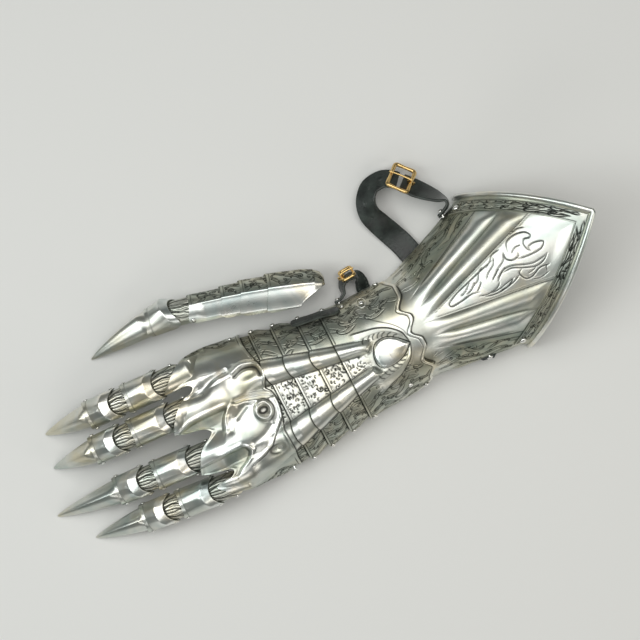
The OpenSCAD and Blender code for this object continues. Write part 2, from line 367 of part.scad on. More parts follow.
// ---------- thumb ----------
T = [[67, 46, 20.5], 19.5, -3, [31, 21, 15, 26, 13.5, 21, 58], [0, 2, 4, 6, 10, 16, 27], thumb_r];
// radius of each link's rear dome
TR = [thumb_r, thumb_r - 1.8, thumb_r - 3.5, thumb_r - 5.1, 10.9, 12.6, 10.9];
function tj(k) = k == 0 ? [0, 0] : tj(k - 1) + T[3][k - 1] * [cos(T[4][k - 1]), -sin(T[4][k - 1])];
module tlink(k) translate(T[0]) rotate([0, 0, -T[1]]) rotate([-T[2], 0, 0]) rotate([0, thumb_lean, 0]) translate([0, tj(k)[0], tj(k)[1]]) rotate([-T[4][k], 0, 0]) children();
// a plate with a domed rear of radius r about y = 0 and a plain front at y = l + 2
module scale_plate(l, r, t = 1.1) difference() {
  v3 = [[l - 3.6, 3.6, 0], [l - 0.4, 3.2, 1.4], [l + 1, 2.6, 2.6]];
  shell(concat([for (q = [66, 78, 90]) ring(A11, -r * cos(q), r * sin(q), leg(q, 3))], [for (v = v3) ring(A11, v[0], r, v[1], 0, v[2])]),
        concat([for (q = [66, 78, 90]) ring(A11, -(r - t) * cos(q), (r - t) * sin(q), leg(q, 3))], [for (v = v3) ring(A11, v[0], r - t, v[1], 0, v[2])]));
  bar(-r - 2, r + 2, 0, 0, shank_r + turn_gap);
  bar(-r - 2, r + 2, l, 0, shank_r + 0.02);
}
module thumb_base_plate() place() color(bright) tlink(0) difference() {
  l = T[3][0]; r = thumb_r;
  o = [[-13, 9.5, 0.3, 0], [-11, 13.5, 0.6, 0], [-5, 16.4, 0.8, 0], [4, r, 1, 0], [l - 5, r, 2.6, 0], [l - 0.4, r, 3, 1.4], [l + 1, r, 2.6, 2.6]];
  shell([for (q = o) ring(A11, q[0], q[1], q[2], 0, q[3])], [for (q = o) ring(A11, q[0] + (q[0] < -12 ? 0 : 0), q[1] - 1.2, q[2], 0, q[3])]);
  bar(-r - 2, r + 2, l, 0, shank_r + 0.02);
}
module thumb_lame_1() place() color(bright) tlink(1) scale_plate(T[3][1], TR[1]);
module thumb_lame_2() place() color(bright) tlink(2) scale_plate(T[3][2], TR[2]);
module thumb_middle_plate() place() color(bright) tlink(3) scale_plate(T[3][3], TR[3]);
module thumb_fan_lame() place() color(steel) tlink(4) fan(T[3][4], TR[4], swing = 36);
module thumb_tip_plate() place() color(bright) tlink(5) outer_plate(T[3][5], TR[5], rf = 0.1);
module thumb_claw() place() color(bright) tlink(6) claw_body(T[3][6], TR[6]);
module thumb_rivets() place() color(bright) tlink(3) pivots([T[3][3]], TR[3], 3.4);
// leather hinge strip along the shoulder of the hand, under the thumb's inner edge
module thumb_leather() place() color(leather) shell([for (y = [31, 38, 46, 54, 62, 70]) [for (f = [52, 56, 60, 64]) srf(y, f, y < 40 ? 2.4 : 3.4, 0)]], [for (y = [31, 38, 46, 54, 62, 70]) [for (f = [52, 56, 60, 64]) srf(y, f, y < 40 ? 0.4 : 1.4, 0)]]);

cuff_plate();
cuff_border_band();
cuff_rivets();
cuff_strap_short();
cuff_strap_long();
cuff_buckle_frame();
cuff_buckle_prong();
wrist_plate();
wrist_boss();
wrist_rivets();
wrist_strap();
wrist_buckle_frame();
wrist_buckle_prong();
metacarpal_lame_1();
metacarpal_lame_2();
metacarpal_lame_3();
metacarpal_lame_4();
lame_1_rivets();
lame_2_rivets();
lame_3_rivets();
knuckle_plate();
knuckle_rivets();
finger_hinge_brackets();
index_knuckle_lame();
index_proximal_plate();
index_middle_lame();
index_middle_plate();
index_claw();
index_proximal_rivets();
index_middle_rivets();
middle_knuckle_lame();
middle_proximal_plate();
middle_middle_lame();
middle_middle_plate();
middle_claw();
middle_proximal_rivets();
middle_middle_rivets();
ring_knuckle_lame();
ring_proximal_plate();
ring_middle_lame();
ring_middle_plate();
ring_claw();
ring_proximal_rivets();
ring_middle_rivets();
little_knuckle_lame();
little_proximal_plate();
little_middle_lame();
little_middle_plate();
little_claw();
little_proximal_rivets();
little_middle_rivets();
thumb_base_plate();
thumb_lame_1();
thumb_lame_2();
thumb_middle_plate();
thumb_fan_lame();
thumb_tip_plate();
thumb_claw();
thumb_rivets();
thumb_leather();
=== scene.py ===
import bpy
import math
import numpy as np
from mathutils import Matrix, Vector


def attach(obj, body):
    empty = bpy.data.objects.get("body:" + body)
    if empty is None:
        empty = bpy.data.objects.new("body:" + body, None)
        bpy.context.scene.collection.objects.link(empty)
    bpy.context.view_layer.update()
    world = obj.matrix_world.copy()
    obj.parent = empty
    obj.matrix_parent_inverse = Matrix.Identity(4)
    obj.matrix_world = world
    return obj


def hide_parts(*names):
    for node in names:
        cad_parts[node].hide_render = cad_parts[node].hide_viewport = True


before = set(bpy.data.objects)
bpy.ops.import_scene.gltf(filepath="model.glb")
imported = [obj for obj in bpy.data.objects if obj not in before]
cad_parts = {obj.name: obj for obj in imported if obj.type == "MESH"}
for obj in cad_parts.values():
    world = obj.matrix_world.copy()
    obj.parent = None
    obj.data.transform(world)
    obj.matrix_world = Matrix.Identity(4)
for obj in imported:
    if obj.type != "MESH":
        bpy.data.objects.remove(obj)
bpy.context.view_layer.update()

CX, CY = 36.04, 63.6
RNG = np.random.RandomState(7)


# ---------------------------------------------------------------- the hand's surface, millimetres
def tab(rows, sig=0.0):
    r = np.array(rows, float)
    g = np.arange(r[0, 0] - 20, r[-1, 0] + 20, 0.25)
    v = np.interp(g, r[:, 0], r[:, 1])
    if sig:
        k = np.arange(-4 * sig, 4 * sig + 0.01, 0.25)
        w = np.exp(-0.5 * (k / sig) ** 2)
        w /= w.sum()
        h = len(k) // 2
        v = np.convolve(np.pad(v, h, mode="edge"), w, mode="valid")
    return lambda y: np.interp(y, g, v)


XC = tab([[-190, 22.5], [-93, 15], [-45, 8], [-3, 3.2], [26, 1.6], [66, 2], [101, 3.2], [135, 4.2], [165, 5.5], [195, 6]], 5)
HW = tab([[-190, 88], [-93, 63.5], [-45, 50.5], [-20, 45], [-3, 42.6], [26, 44.6], [62, 49.5], [101, 56], [135, 58.5], [160, 60], [195, 60]], 5)
HH = tab([[-190, 96], [-93, 73], [-45, 60.5], [-20, 56], [-3, 54], [26, 54], [62, 54.5], [101, 53], [135, 50], [165, 46], [195, 42]], 5)
NN = tab([[-190, 2.15], [-93, 2.25], [-3, 2.5], [60, 2.8], [165, 2.9], [195, 2.9]], 5)
Z0 = tab([[-190, 0], [-93, 0], [-82, 0], [-72, 4], [-60, 7.5], [-34, 7.5], [-22, 3], [-14, 0], [-4, 0], [2, 5], [18, 5], [28, 1.5], [110, 1.5], [118, 0], [150, 0], [195, 0]], 1.5)
R1 = tab([[0, 4], [20, 6], [103, 24.5], [125, 30]])
R2 = tab([[0, -9], [23, -12.6], [104, -28.5], [125, -33]])
RW = tab([[0, 3.5], [20, 5], [103, 10.5], [130, 13]])
RIDGE_H, DOME_H = 5.5, 8.0
FINGERS = [
    ("index", [54, 170, 37.5], 3, [3, 7, 11, 16, 26.6], [15, 25, 11, 22.5, 48]),
    ("middle", [27, 172, 38.2], 3, [2, 5, 9, 15, 30.1], [16, 30, 12, 21.5, 47.5]),
    ("ring", [-11.2, 172, 33.5], 4, [4, 8, 12, 16, 15.6], [16, 29, 12, 21, 59]),
    ("little", [-41, 168, 28.2], 5, [4, 9, 13, 16, 13], [15, 27, 11, 20.5, 47]),
]


def sp(v, e):
    return np.sign(v) * np.abs(v) ** e


def sm(a, b, v):
    u = np.clip((np.asarray(v, float) - a) / (b - a), 0, 1)
    return u * u * (3 - 2 * u)


def pipe(u):
    return np.maximum(0, 1 - np.asarray(u) ** 2) ** 0.8


def ridges(x, y):
    return RIDGE_H * sm(14, 34, y) * (1 - sm(109, 138, y)) * np.maximum(pipe((x - R1(y)) / RW(y)), pipe((x - R2(y)) / RW(y)))


def blob(x, y, px, py, rx, ry):
    return np.exp(-1.2 * (((x - px) / rx) ** 2 + ((y - py) / ry) ** 2))


def domes(x, y):
    return DOME_H * sm(116, 140, y) * (
        np.maximum(blob(x, y, 42, 158, 21, 30), blob(x, y, 25, 158, 16, 34))
        + 0.75 * np.maximum(blob(x, y, -13, 158, 13, 30), 0.9 * blob(x, y, -38, 158, 11, 28))
    )


def fan_edges(y):
    a = np.maximum(0.0, -0.245 * (y + 20))
    b = 13.75 - 0.385 * y
    return a, a + 0.52 * (b - a), b


def flutes(x, y):
    q = np.abs(x - 0.9 + 0.11 * y)
    a, m, b = fan_edges(y)
    h = np.where(q < a, -0.5, np.where(q < m, -1.2 + 2.4 * pipe((2 * q - a - m) / np.maximum(m - a, 0.1)),
                 np.where(q < b, -1.2 + 2.4 * pipe((2 * q - m - b) / np.maximum(b - m, 0.1)), 0.0)))
    return np.where(y > -16, 0.0, sm(18, 50, -np.asarray(y, float)) * h)


def hump(x, y):
    best = np.full(np.shape(x), -1.0)
    for _, c, hd, pit, _l in FINGERS:
        q = x - c[0] - (y - c[1]) * math.tan(math.radians(hd))
        r = 12.7 + 1.9 * sm(177, 185, y)
        v = c[2] - np.maximum(0, y - c[1]) * math.tan(math.radians(pit[0])) + np.sqrt(np.maximum(r * r - q * q, 0)) - 14 * (1 - sm(c[1] - 26, c[1] - 11, y))
        best = np.maximum(best, np.where(np.abs(q) < r, v, -1.0))
    return np.where(y < 140, -1.0, best)


def srf(y, f, off, bump=True, extra=None):
    """points of the hand's surface; y and f (degrees) are arrays of one shape"""
    y, f = np.broadcast_arrays(np.asarray(y, float), np.asarray(f, float))
    e = 2 / NN(y)
    hw, z0 = HW(y), Z0(y)
    hh = HH(y) - z0
    s, c = np.sin(np.radians(f)), np.maximum(np.cos(np.radians(f)), 0)
    x = XC(y) + hw * sp(s, e)
    z = z0 + hh * c ** e
    nx = sp(s, 2 - e) / hw
    nz = c ** (2 - e) / hh
    nl = np.sqrt(nx * nx + nz * nz)
    d = (ridges(x, y) + domes(x, y) + flutes(x, y)) if bump else 0.0
    px, pz = x + d * nx / nl, z + d * nz / nl
    if bump:
        hp = hump(px, y) - pz
        pz = pz + np.where(hp > 0, hp, 0.0)
    if extra is not None:
        off = off + extra(px, y, f)
    return np.stack([px + off * nx / nl, y, pz + off * nz / nl], -1)


def xs(y, z, side):
    e = 2 / NN(y)
    c = ((z - Z0(y)) / (HH(y) - Z0(y))) ** (1 / e)
    return float(XC(y) + side * HW(y) * np.sin(np.arccos(c)) ** e)


# ---------------------------------------------------------------- meshes
def to_m(p):
    return (np.asarray(p, float) - [CX, CY, 0]) / 1000.0


def make(name, verts, faces, mat, body, reps=(), attrs=None, sharp=None):
    """mesh from millimetre points in the hand's axes; faces is a list of (n, k) arrays"""
    me = bpy.data.meshes.new(name)
    v = to_m(verts)
    fs = [np.asarray(f, int) for f in faces if len(f)]
    me.vertices.add(len(v))
    me.vertices.foreach_set("co", v.astype(np.float32).ravel())
    loops = np.concatenate([f.ravel() for f in fs])
    tot = np.concatenate([np.full(len(f), f.shape[1]) for f in fs])
    me.loops.add(len(loops))
    me.loops.foreach_set("vertex_index", loops.astype(np.int32))
    me.polygons.add(len(tot))
    me.polygons.foreach_set("loop_start", np.concatenate([[0], np.cumsum(tot)[:-1]]).astype(np.int32))
    me.polygons.foreach_set("loop_total", tot.astype(np.int32))
    me.polygons.foreach_set("use_smooth", np.ones(len(tot), bool))
    me.update()
    me.validate()
    for k, a in (attrs or {}).items():
        at = me.attributes.new(k, "FLOAT", "POINT")
        at.data.foreach_set("value", np.asarray(a, np.float32))
    if sharp:
        me.set_sharp_from_angle(angle=math.radians(sharp))
    ob = bpy.data.objects.new(name, me)
    bpy.context.scene.collection.objects.link(ob)
    me.materials.append(mat)
    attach(ob, body)
    if reps:
        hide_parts(*reps)
    return ob


def grid_faces(n, m, flip=False):
    i = (np.arange(n - 1)[:, None] * m + np.arange(m - 1)[None, :])
    q = np.stack([i, i + m, i + m + 1, i + 1], -1).reshape(-1, 4)
    return q[:, ::-1] if flip else q


def perim(n, m):
    return np.concatenate([np.arange(0, m - 1), np.arange(n - 1) * m + m - 1, (n - 1) * m + np.arange(m - 1, 0, -1), np.arange(n - 1, 0, -1) * m])


class Mesh:
    """gathers closed shells and solids that become one piece"""

    def __init__(self):
        self.v, self.f, self.g, self.t, self.k = [], [], [], [], 0

    def add(self, v, faces, g=None, patina_and_painted_shade=0.0):
        v = np.asarray(v, float).reshape(-1, 3)
        self.v.append(v)
        self.f += [np.asarray(f, int) + self.k for f in faces if len(f)]
        self.g.append(np.zeros(len(v)) if g is None else np.asarray(g, float).ravel())
        self.t.append(np.full(len(v), patina_and_painted_shade) if np.ndim(patina_and_painted_shade) == 0 else np.asarray(patina_and_painted_shade, float).ravel())
        self.k += len(v)

    def shell(self, o, i, g=None, r=0.3, patina_and_painted_shade=None, rim=0.55):
        """outer grid and inner grid (n, m, 3), joined by a rounded rim"""
        o, i = np.array(o, float), np.array(i, float)
        n, m = o.shape[:2]
        p = perim(n, m)
        of, inf = o.reshape(-1, 3), i.reshape(-1, 3)
        eo, ei = of[p].copy(), inf[p].copy()
        t = np.linalg.norm(eo - ei, axis=1)[:, None] + 1e-6
        k = np.minimum(0.28, r / t)
        rim1 = eo + (ei - eo) * k
        rim2 = eo + (ei - eo) * (1 - k)
        # the corner rows draw back a little, so that the rim reads as rounded
        for a in (o, i):
            for s0, s1 in (((0,), (1,)), ((-1,), (-2,))):
                d = a[s1[0]] - a[s0[0]]
                L = np.linalg.norm(d, axis=1)[:, None] + 1e-9
                a[s0[0]] = a[s0[0]] + d / L * np.minimum(r * 0.8, L * 0.6)
                d = a[:, s1[0]] - a[:, s0[0]]
                L = np.linalg.norm(d, axis=1)[:, None] + 1e-9
                a[:, s0[0]] = a[:, s0[0]] + d / L * np.minimum(r * 0.8, L * 0.6)
        N = n * m
        K = len(p)
        q = np.roll(np.arange(K), -1)
        j = np.arange(K)
        fo = grid_faces(n, m, False)
        fi = grid_faces(n, m, True) + N
        b1, b2 = 2 * N, 2 * N + K
        faces = [fo, fi,
                 np.stack([p[j], p[q], b1 + q, b1 + j], -1),
                 np.stack([b1 + j, b1 + q, b2 + q, b2 + j], -1),
                 np.stack([b2 + j, b2 + q, N + p[q], N + p[j]], -1)]
        v = np.concatenate([o.reshape(-1, 3), i.reshape(-1, 3), rim1, rim2])
        gg = np.zeros(len(v))
        # inside surfaces and rim faces get tone 0.8: painted shade on the undersides
        tt = np.full(len(v), 0.8)
        tt[:N] = 0.0 if patina_and_painted_shade is None else np.broadcast_to(patina_and_painted_shade, (n, m)).ravel()
        if g is not None:
            gg[:N] = np.asarray(g).ravel()
        # rim faces take the groove value rim: on steel, a painted shade line along every plate edge
        gg[2 * N:2 * N + K] = rim * 0.4
        gg[2 * N + K:] = rim
        self.add(v, faces, gg, tt)

    def tube(self, pts, r, seg=12, closed=False, cap=True):
        pts = np.asarray(pts, float)
        n = len(pts)
        r = np.broadcast_to(np.asarray(r, float), (n,))
        if closed:
            d = np.roll(pts, -1, 0) - np.roll(pts, 1, 0)
        else:
            d = np.gradient(pts, axis=0)
        d /= np.linalg.norm(d, axis=1)[:, None] + 1e-12
        u = np.cross(d[0], [0, 0, 1.0])
        if np.linalg.norm(u) < 1e-3:
            u = np.cross(d[0], [0, 1.0, 0])
        us = []
        for k in range(n):
            u = u - d[k] * u.dot(d[k])
            u /= np.linalg.norm(u)
            us.append(u.copy())
        us = np.array(us)
        w = np.cross(d, us)
        a = np.arange(seg) * 2 * math.pi / seg
        ring = pts[:, None] + r[:, None, None] * (us[:, None] * np.cos(a)[None, :, None] + w[:, None] * np.sin(a)[None, :, None])
        i = np.arange(seg)
        ni = (i + 1) % seg
        fs = []
        for k in range(n if closed else n - 1):
            k2 = (k + 1) % n
            fs.append(np.stack([k * seg + i, k * seg + ni, k2 * seg + ni, k2 * seg + i], -1))
        fs = [np.concatenate(fs)]
        v = ring.reshape(-1, 3)
        if not closed and cap:
            e0, e1 = pts[0] - d[0] * r[0] * 0.45, pts[-1] + d[-1] * r[-1] * 0.45
            v = np.concatenate([v, [e0, e1]])
            fs.append(np.stack([np.full(seg, n * seg), ni, i], -1))
            b = (n - 1) * seg
            fs.append(np.stack([np.full(seg, n * seg + 1), b + i, b + ni], -1))
        self.add(v, fs)

    def revolve(self, prof, at, axis, seg=24):
        """profile [radius, height] from the axis at one end to the axis at the other"""
        prof = np.asarray(prof, float)
        ax = np.asarray(axis, float)
        ax = ax / np.linalg.norm(ax)
        u = np.cross(ax, [0, 0, 1.0])
        if np.linalg.norm(u) < 1e-3:
            u = np.cross(ax, [0, 1.0, 0])
        u /= np.linalg.norm(u)
        w = np.cross(ax, u)
        a = np.arange(seg) * 2 * math.pi / seg
        mid = prof[1:-1]
        ring = np.asarray(at)[None, None] + mid[:, 0][:, None, None] * (u[None, None] * np.cos(a)[None, :, None] + w[None, None] * np.sin(a)[None, :, None]) + mid[:, 1][:, None, None] * ax[None, None]
        n = len(mid)
        i = np.arange(seg)
        ni = (i + 1) % seg
        fs = [np.concatenate([np.stack([k * seg + i, k * seg + ni, (k + 1) * seg + ni, (k + 1) * seg + i], -1) for k in range(n - 1)])]
        v = np.concatenate([ring.reshape(-1, 3), [np.asarray(at) + ax * prof[0, 1]], [np.asarray(at) + ax * prof[-1, 1]]])
        fs.append(np.stack([np.full(seg, n * seg), ni, i], -1))
        b = (n - 1) * seg
        fs.append(np.stack([np.full(seg, n * seg + 1), b + i, b + ni], -1))
        self.add(v, fs)

    def out(self, name, mat, body, reps=(), slot=None, sharp=None):
        return make(name, np.concatenate(self.v), self.f, mat, body, reps, {"marks_and_painted_shade": np.concatenate(self.g), "patina_and_painted_shade": np.concatenate(self.t)}, sharp)


def rivet_profile(r, ln, sr=1.2, k=0.62):
    a = np.radians(np.arange(0, 90, 12))
    head = [[r * 0.96, 0.0]] + [[r * math.cos(t) ** 0.9, 0.1 + k * r * math.sin(t)] for t in a]
    return np.array([[0, -ln - 0.7], [sr + 0.6, -ln - 0.7], [sr + 0.6, -ln], [sr, -ln], [sr, 0]] + head + [[0, 0.1 + k * r]])


# ---------------------------------------------------------------- engraved relief: drawn strokes on a flat panel
def cr(p, k=8):
    """Catmull-Rom through the points"""
    p = np.asarray(p, float)
    q = np.concatenate([[p[0]], p, [p[-1]]])
    out = []
    u = np.linspace(0, 1, k, endpoint=False)[:, None]
    for i in range(len(p) - 1):
        a, b, c, d = q[i], q[i + 1], q[i + 2], q[i + 3]
        out.append(0.5 * (2 * b + (c - a) * u + (2 * a - 5 * b + 4 * c - d) * u * u + (3 * b - a - 3 * c + d) * u ** 3))
    out.append([p[-1]])
    return np.concatenate(out)


class Relief:
    def __init__(self, u0, u1, v0, v1, px=0.22):
        self.u0, self.v0, self.px = u0, v0, px
        self.n, self.m = int((u1 - u0) / px) + 2, int((v1 - v0) / px) + 2
        self.h = np.zeros(self.n * self.m)
        self.b = np.zeros(self.n * self.m)

    def _stamp(self, arr, pts, w, amp, mode):
        w = np.broadcast_to(w, (len(pts),))
        amp = np.broadcast_to(amp, (len(pts),))
        R = int(math.ceil(2.2 * w.max() / self.px))
        gu, gv = (pts[:, 0] - self.u0) / self.px, (pts[:, 1] - self.v0) / self.px
        iu, iv = np.floor(gu).astype(int), np.floor(gv).astype(int)
        for a in range(-R, R + 1):
            for b in range(-R, R + 1):
                ku, kv = iu + a, iv + b
                ok = (ku >= 0) & (ku < self.n) & (kv >= 0) & (kv < self.m)
                if not ok.any():
                    continue
                d2 = ((ku - gu) ** 2 + (kv - gv) ** 2) * self.px ** 2
                val = amp * np.exp(-d2 / (w * w))
                mode.at(arr, (ku[ok] * self.m + kv[ok]), val[ok])

    def line(self, pts, w=0.42, depth=1.0, taper=(0.25, 0.25)):
        pts = np.asarray(pts, float)
        seg = np.linalg.norm(np.diff(pts, axis=0), axis=1)
        L = np.concatenate([[0], np.cumsum(seg)])
        if L[-1] < 0.5:
            return
        t = np.arange(0, L[-1], 0.2)
        p = np.stack([np.interp(t, L, pts[:, 0]), np.interp(t, L, pts[:, 1])], -1)
        s = t / L[-1]
        k = np.minimum(1, np.minimum((s + 0.05) / max(taper[0], 0.01), (1.05 - s) / max(taper[1], 0.01)))
        self._stamp(self.h, p, w * (0.55 + 0.45 * k), depth * (0.35 + 0.65 * k), np.maximum)

    def bump(self, pts, w, amp):
        pts = np.asarray(pts, float)
        self._stamp(self.b, pts, w, amp, np.maximum)

    def at(self, u, v):
        gu = np.clip((u - self.u0) / self.px, 0, self.n - 1.001)
        gv = np.clip((v - self.v0) / self.px, 0, self.m - 1.001)
        iu, iv = gu.astype(int), gv.astype(int)
        fu, fv = gu - iu, gv - iv
        res = []
        for arr in (self.h, self.b):
            a = arr[iu * self.m + iv] * (1 - fu) * (1 - fv) + arr[(iu + 1) * self.m + iv] * fu * (1 - fv)
            b = arr[iu * self.m + iv + 1] * (1 - fu) * fv + arr[(iu + 1) * self.m + iv + 1] * fu * fv
            res.append(a + b)
        return res[0], res[1]


def walk(p0, ang, L, turn, n=36):
    """curve from p0, heading ang, with the heading's change given by turn(t)"""
    t = np.linspace(0, 1, n)
    th = ang + turn(t)
    d = np.stack([np.cos(th), np.sin(th)], -1) * L / (n - 1)
    return np.asarray(p0) + np.concatenate([[[0, 0]], np.cumsum(d[:-1], 0)])


def scroll(R, p0, ang, r, hand=1, turns=1.35, w=0.42):
    """spiral that starts at p0 with heading ang"""
    n = 60
    tt = np.linspace(0, 1, n)
    tot = turns * 2 * math.pi
    rad = r * np.exp(-1.7 * tt)
    th = ang + hand * tot * tt
    step = rad * tot / (n - 1)
    d = np.stack([np.cos(th), np.sin(th)], -1) * step[:, None]
    c = np.asarray(p0) + np.concatenate([[[0, 0]], np.cumsum(d[:-1], 0)])
    R.line(c, w, 1.0, (0.15, 0.1))
    R.bump(c[:-6:2], 0.9, 0.35)
    return c


def engrave(R, u, v, depth=0.42, lift=0.45):
    """displacement and groove mask of a panel"""
    h, b = R.at(u, v)
    return lift * b * (1 - h) - depth * h, np.clip(h * 1.15, 0, 1)


# ---------------------------------------------------------------- materials
def steel(name, base, warm, cool, rough, vary=0.5, fleck=0.0):
    m = bpy.data.materials.new(name)
    m.use_nodes = True
    nt = m.node_tree
    nt.nodes.clear()
    out = nt.nodes.new("ShaderNodeOutputMaterial")
    bs = nt.nodes.new("ShaderNodeBsdfPrincipled")
    nt.links.new(bs.outputs[0], out.inputs[0])
    bs.inputs["Metallic"].default_value = 1.0
    tc = nt.nodes.new("ShaderNodeTexCoord")

    def noise(scale, detail, rg=0.55, dist=0.0):
        n = nt.nodes.new("ShaderNodeTexNoise")
        n.inputs["Scale"].default_value = scale
        n.inputs["Detail"].default_value = detail
        n.inputs["Roughness"].default_value = rg
        n.inputs["Distortion"].default_value = dist
        nt.links.new(tc.outputs["Object"], n.inputs["Vector"])
        return n.outputs["Fac"]

    def ramp(src, stops):
        r = nt.nodes.new("ShaderNodeValToRGB")
        e = r.color_ramp.elements
        while len(e) < len(stops):
            e.new(0.5)
        for k, (p, c) in enumerate(stops):
            e[k].position = p
            e[k].color = (*c, 1)
        nt.links.new(src, r.inputs[0])
        return r.outputs[0]

    def mix(a, b, fac, mode="MIX"):
        x = nt.nodes.new("ShaderNodeMix")
        x.data_type = "RGBA"
        x.blend_type = mode
        for k, s in ((6, a), (7, b)):
            if isinstance(s, tuple):
                x.inputs[k].default_value = (*s, 1)
            else:
                nt.links.new(s, x.inputs[k])
        if isinstance(fac, float):
            x.inputs[0].default_value = fac
        else:
            nt.links.new(fac, x.inputs[0])
        return x.outputs[2]

    def math_(op, a, b=None, c=None, clamp=False):
        x = nt.nodes.new("ShaderNodeMath")
        x.operation = op
        x.use_clamp = clamp
        for k, s in enumerate((a, b, c)):
            if s is None:
                continue
            if isinstance(s, (int, float)):
                x.inputs[k].default_value = s
            else:
                nt.links.new(s, x.inputs[k])
        return x.outputs[0]

    tint = ramp(noise(26, 3, 0.55, 0.8), [(0.32, cool), (0.5, base), (0.68, warm)])
    cloud = ramp(noise(95, 5, 0.6), [(0.3, (0.80, 0.80, 0.80)), (0.62, (1, 1, 1))])
    col = mix(tint, cloud, 0.35, "MULTIPLY")
    # the tone attribute mixes in a dark olive: patina on the engraved sides, and painted shade in valleys, hollows,
    # creases and under overlapping plates
    tn = nt.nodes.new("ShaderNodeAttribute")
    tn.attribute_name = "patina_and_painted_shade"
    patina_shade_colour = ramp(noise(34, 5, 0.6, 1.2), [(0.30, (0.16, 0.205, 0.17)), (0.48, (0.32, 0.35, 0.265)), (0.70, (0.52, 0.485, 0.355))])
    col = mix(col, patina_shade_colour, math_("MULTIPLY", tn.outputs["Fac"], 0.84, clamp=True))
    # the groove attribute mixes in near-black: engraved lines, and painted shade lines along plate edges, gaps, steps
    # and creases
    at = nt.nodes.new("ShaderNodeAttribute")
    at.attribute_name = "marks_and_painted_shade"
    g = math_("MULTIPLY", at.outputs["Fac"], 0.97, clamp=True)
    col = mix(col, (0.010, 0.013, 0.011), g)
    nt.links.new(col, bs.inputs["Base Color"])
    # fine scratches and cloudy polish change the roughness
    mp = nt.nodes.new("ShaderNodeMapping")
    mp.inputs["Scale"].default_value = (1400, 90, 400)
    mp.inputs["Rotation"].default_value = (0.3, 0.2, 0.5)
    nt.links.new(tc.outputs["Object"], mp.inputs["Vector"])
    sc = nt.nodes.new("ShaderNodeTexNoise")
    sc.inputs["Scale"].default_value = 1.0
    sc.inputs["Detail"].default_value = 3
    nt.links.new(mp.outputs[0], sc.inputs["Vector"])
    r0 = math_("MULTIPLY_ADD", noise(60, 4), 0.16 * vary * 2, rough - 0.08 * vary * 2)
    r1 = math_("MULTIPLY_ADD", sc.outputs["Fac"], 0.06, r0)
    r3 = math_("MULTIPLY_ADD", tn.outputs["Fac"], 0.10, r1)
    r2 = math_("MULTIPLY_ADD", at.outputs["Fac"], 0.35, r3, clamp=True)
    nt.links.new(r2, bs.inputs["Roughness"])
    bp = nt.nodes.new("ShaderNodeBump")
    bp.inputs["Strength"].default_value = 0.10
    bp.inputs["Distance"].default_value = 0.0003
    hsum = math_("MULTIPLY_ADD", sc.outputs["Fac"], 0.25, noise(210, 4, 0.6))
    nt.links.new(hsum, bp.inputs["Height"])
    nt.links.new(bp.outputs[0], bs.inputs["Normal"])
    return m


def leather_mat():
    m = bpy.data.materials.new("black_leather")
    m.use_nodes = True
    nt = m.node_tree
    bs = nt.nodes["Principled BSDF"]
    tc = nt.nodes.new("ShaderNodeTexCoord")
    vo = nt.nodes.new("ShaderNodeTexVoronoi")
    vo.inputs["Scale"].default_value = 900
    nt.links.new(tc.outputs["Object"], vo.inputs["Vector"])
    no = nt.nodes.new("ShaderNodeTexNoise")
    no.inputs["Scale"].default_value = 120
    no.inputs["Detail"].default_value = 6
    nt.links.new(tc.outputs["Object"], no.inputs["Vector"])
    rp = nt.nodes.new("ShaderNodeValToRGB")
    e = rp.color_ramp.elements
    e[0].position, e[0].color = 0.35, (0.006, 0.009, 0.008, 1)
    e[1].position, e[1].color = 0.72, (0.030, 0.042, 0.036, 1)
    nt.links.new(no.outputs["Fac"], rp.inputs[0])
    at = nt.nodes.new("ShaderNodeAttribute")
    at.attribute_name = "marks_and_painted_shade"
    mx = nt.nodes.new("ShaderNodeMix")
    mx.data_type = "RGBA"
    nt.links.new(at.outputs["Fac"], mx.inputs[0])
    nt.links.new(rp.outputs[0], mx.inputs[6])
    mx.inputs[7].default_value = (0.075, 0.088, 0.075, 1)
    nt.links.new(mx.outputs[2], bs.inputs["Base Color"])
    rr = nt.nodes.new("ShaderNodeMath")
    rr.operation = "MULTIPLY_ADD"
    rr.inputs[1].default_value = 0.3
    rr.inputs[2].default_value = 0.22
    nt.links.new(no.outputs["Fac"], rr.inputs[0])
    nt.links.new(rr.outputs[0], bs.inputs["Roughness"])
    hm = nt.nodes.new("ShaderNodeMath")
    hm.operation = "MULTIPLY_ADD"
    hm.inputs[1].default_value = 0.6
    nt.links.new(vo.outputs["Distance"], hm.inputs[0])
    nt.links.new(no.outputs["Fac"], hm.inputs[2])
    bp = nt.nodes.new("ShaderNodeBump")
    bp.inputs["Strength"].default_value = 0.35
    bp.inputs["Distance"].default_value = 0.0004
    nt.links.new(hm.outputs[0], bp.inputs["Height"])
    nt.links.new(bp.outputs[0], bs.inputs["Normal"])
    bs.inputs["Sheen Weight"].default_value = 0.15
    return m


def brass_mat():
    m = steel("worn_brass", (0.80, 0.56, 0.24), (0.88, 0.62, 0.26), (0.52, 0.35, 0.14), 0.24, 0.9)
    return m


M_PLATE = steel("plate_steel", (0.82, 0.82, 0.77), (0.84, 0.78, 0.62), (0.58, 0.64, 0.61), 0.30)
M_BRIGHT = steel("bright_steel", (0.84, 0.84, 0.80), (0.86, 0.79, 0.62), (0.58, 0.66, 0.65), 0.27)
M_FAN = steel("engraved_steel", (0.76, 0.75, 0.68), (0.82, 0.75, 0.56), (0.54, 0.59, 0.53), 0.28)
M_RIVET = steel("rivet_steel", (0.88, 0.88, 0.86), (0.90, 0.88, 0.82), (0.78, 0.81, 0.79), 0.16)
M_LEATHER = leather_mat()
M_BRASS = brass_mat()


# ---------------------------------------------------------------- cuff
def cuff_rear(f):
    a = np.abs(sp(np.sin(np.radians(f)), 0.92))
    return -177 + 86 * a - 3 * a * (1 - a)


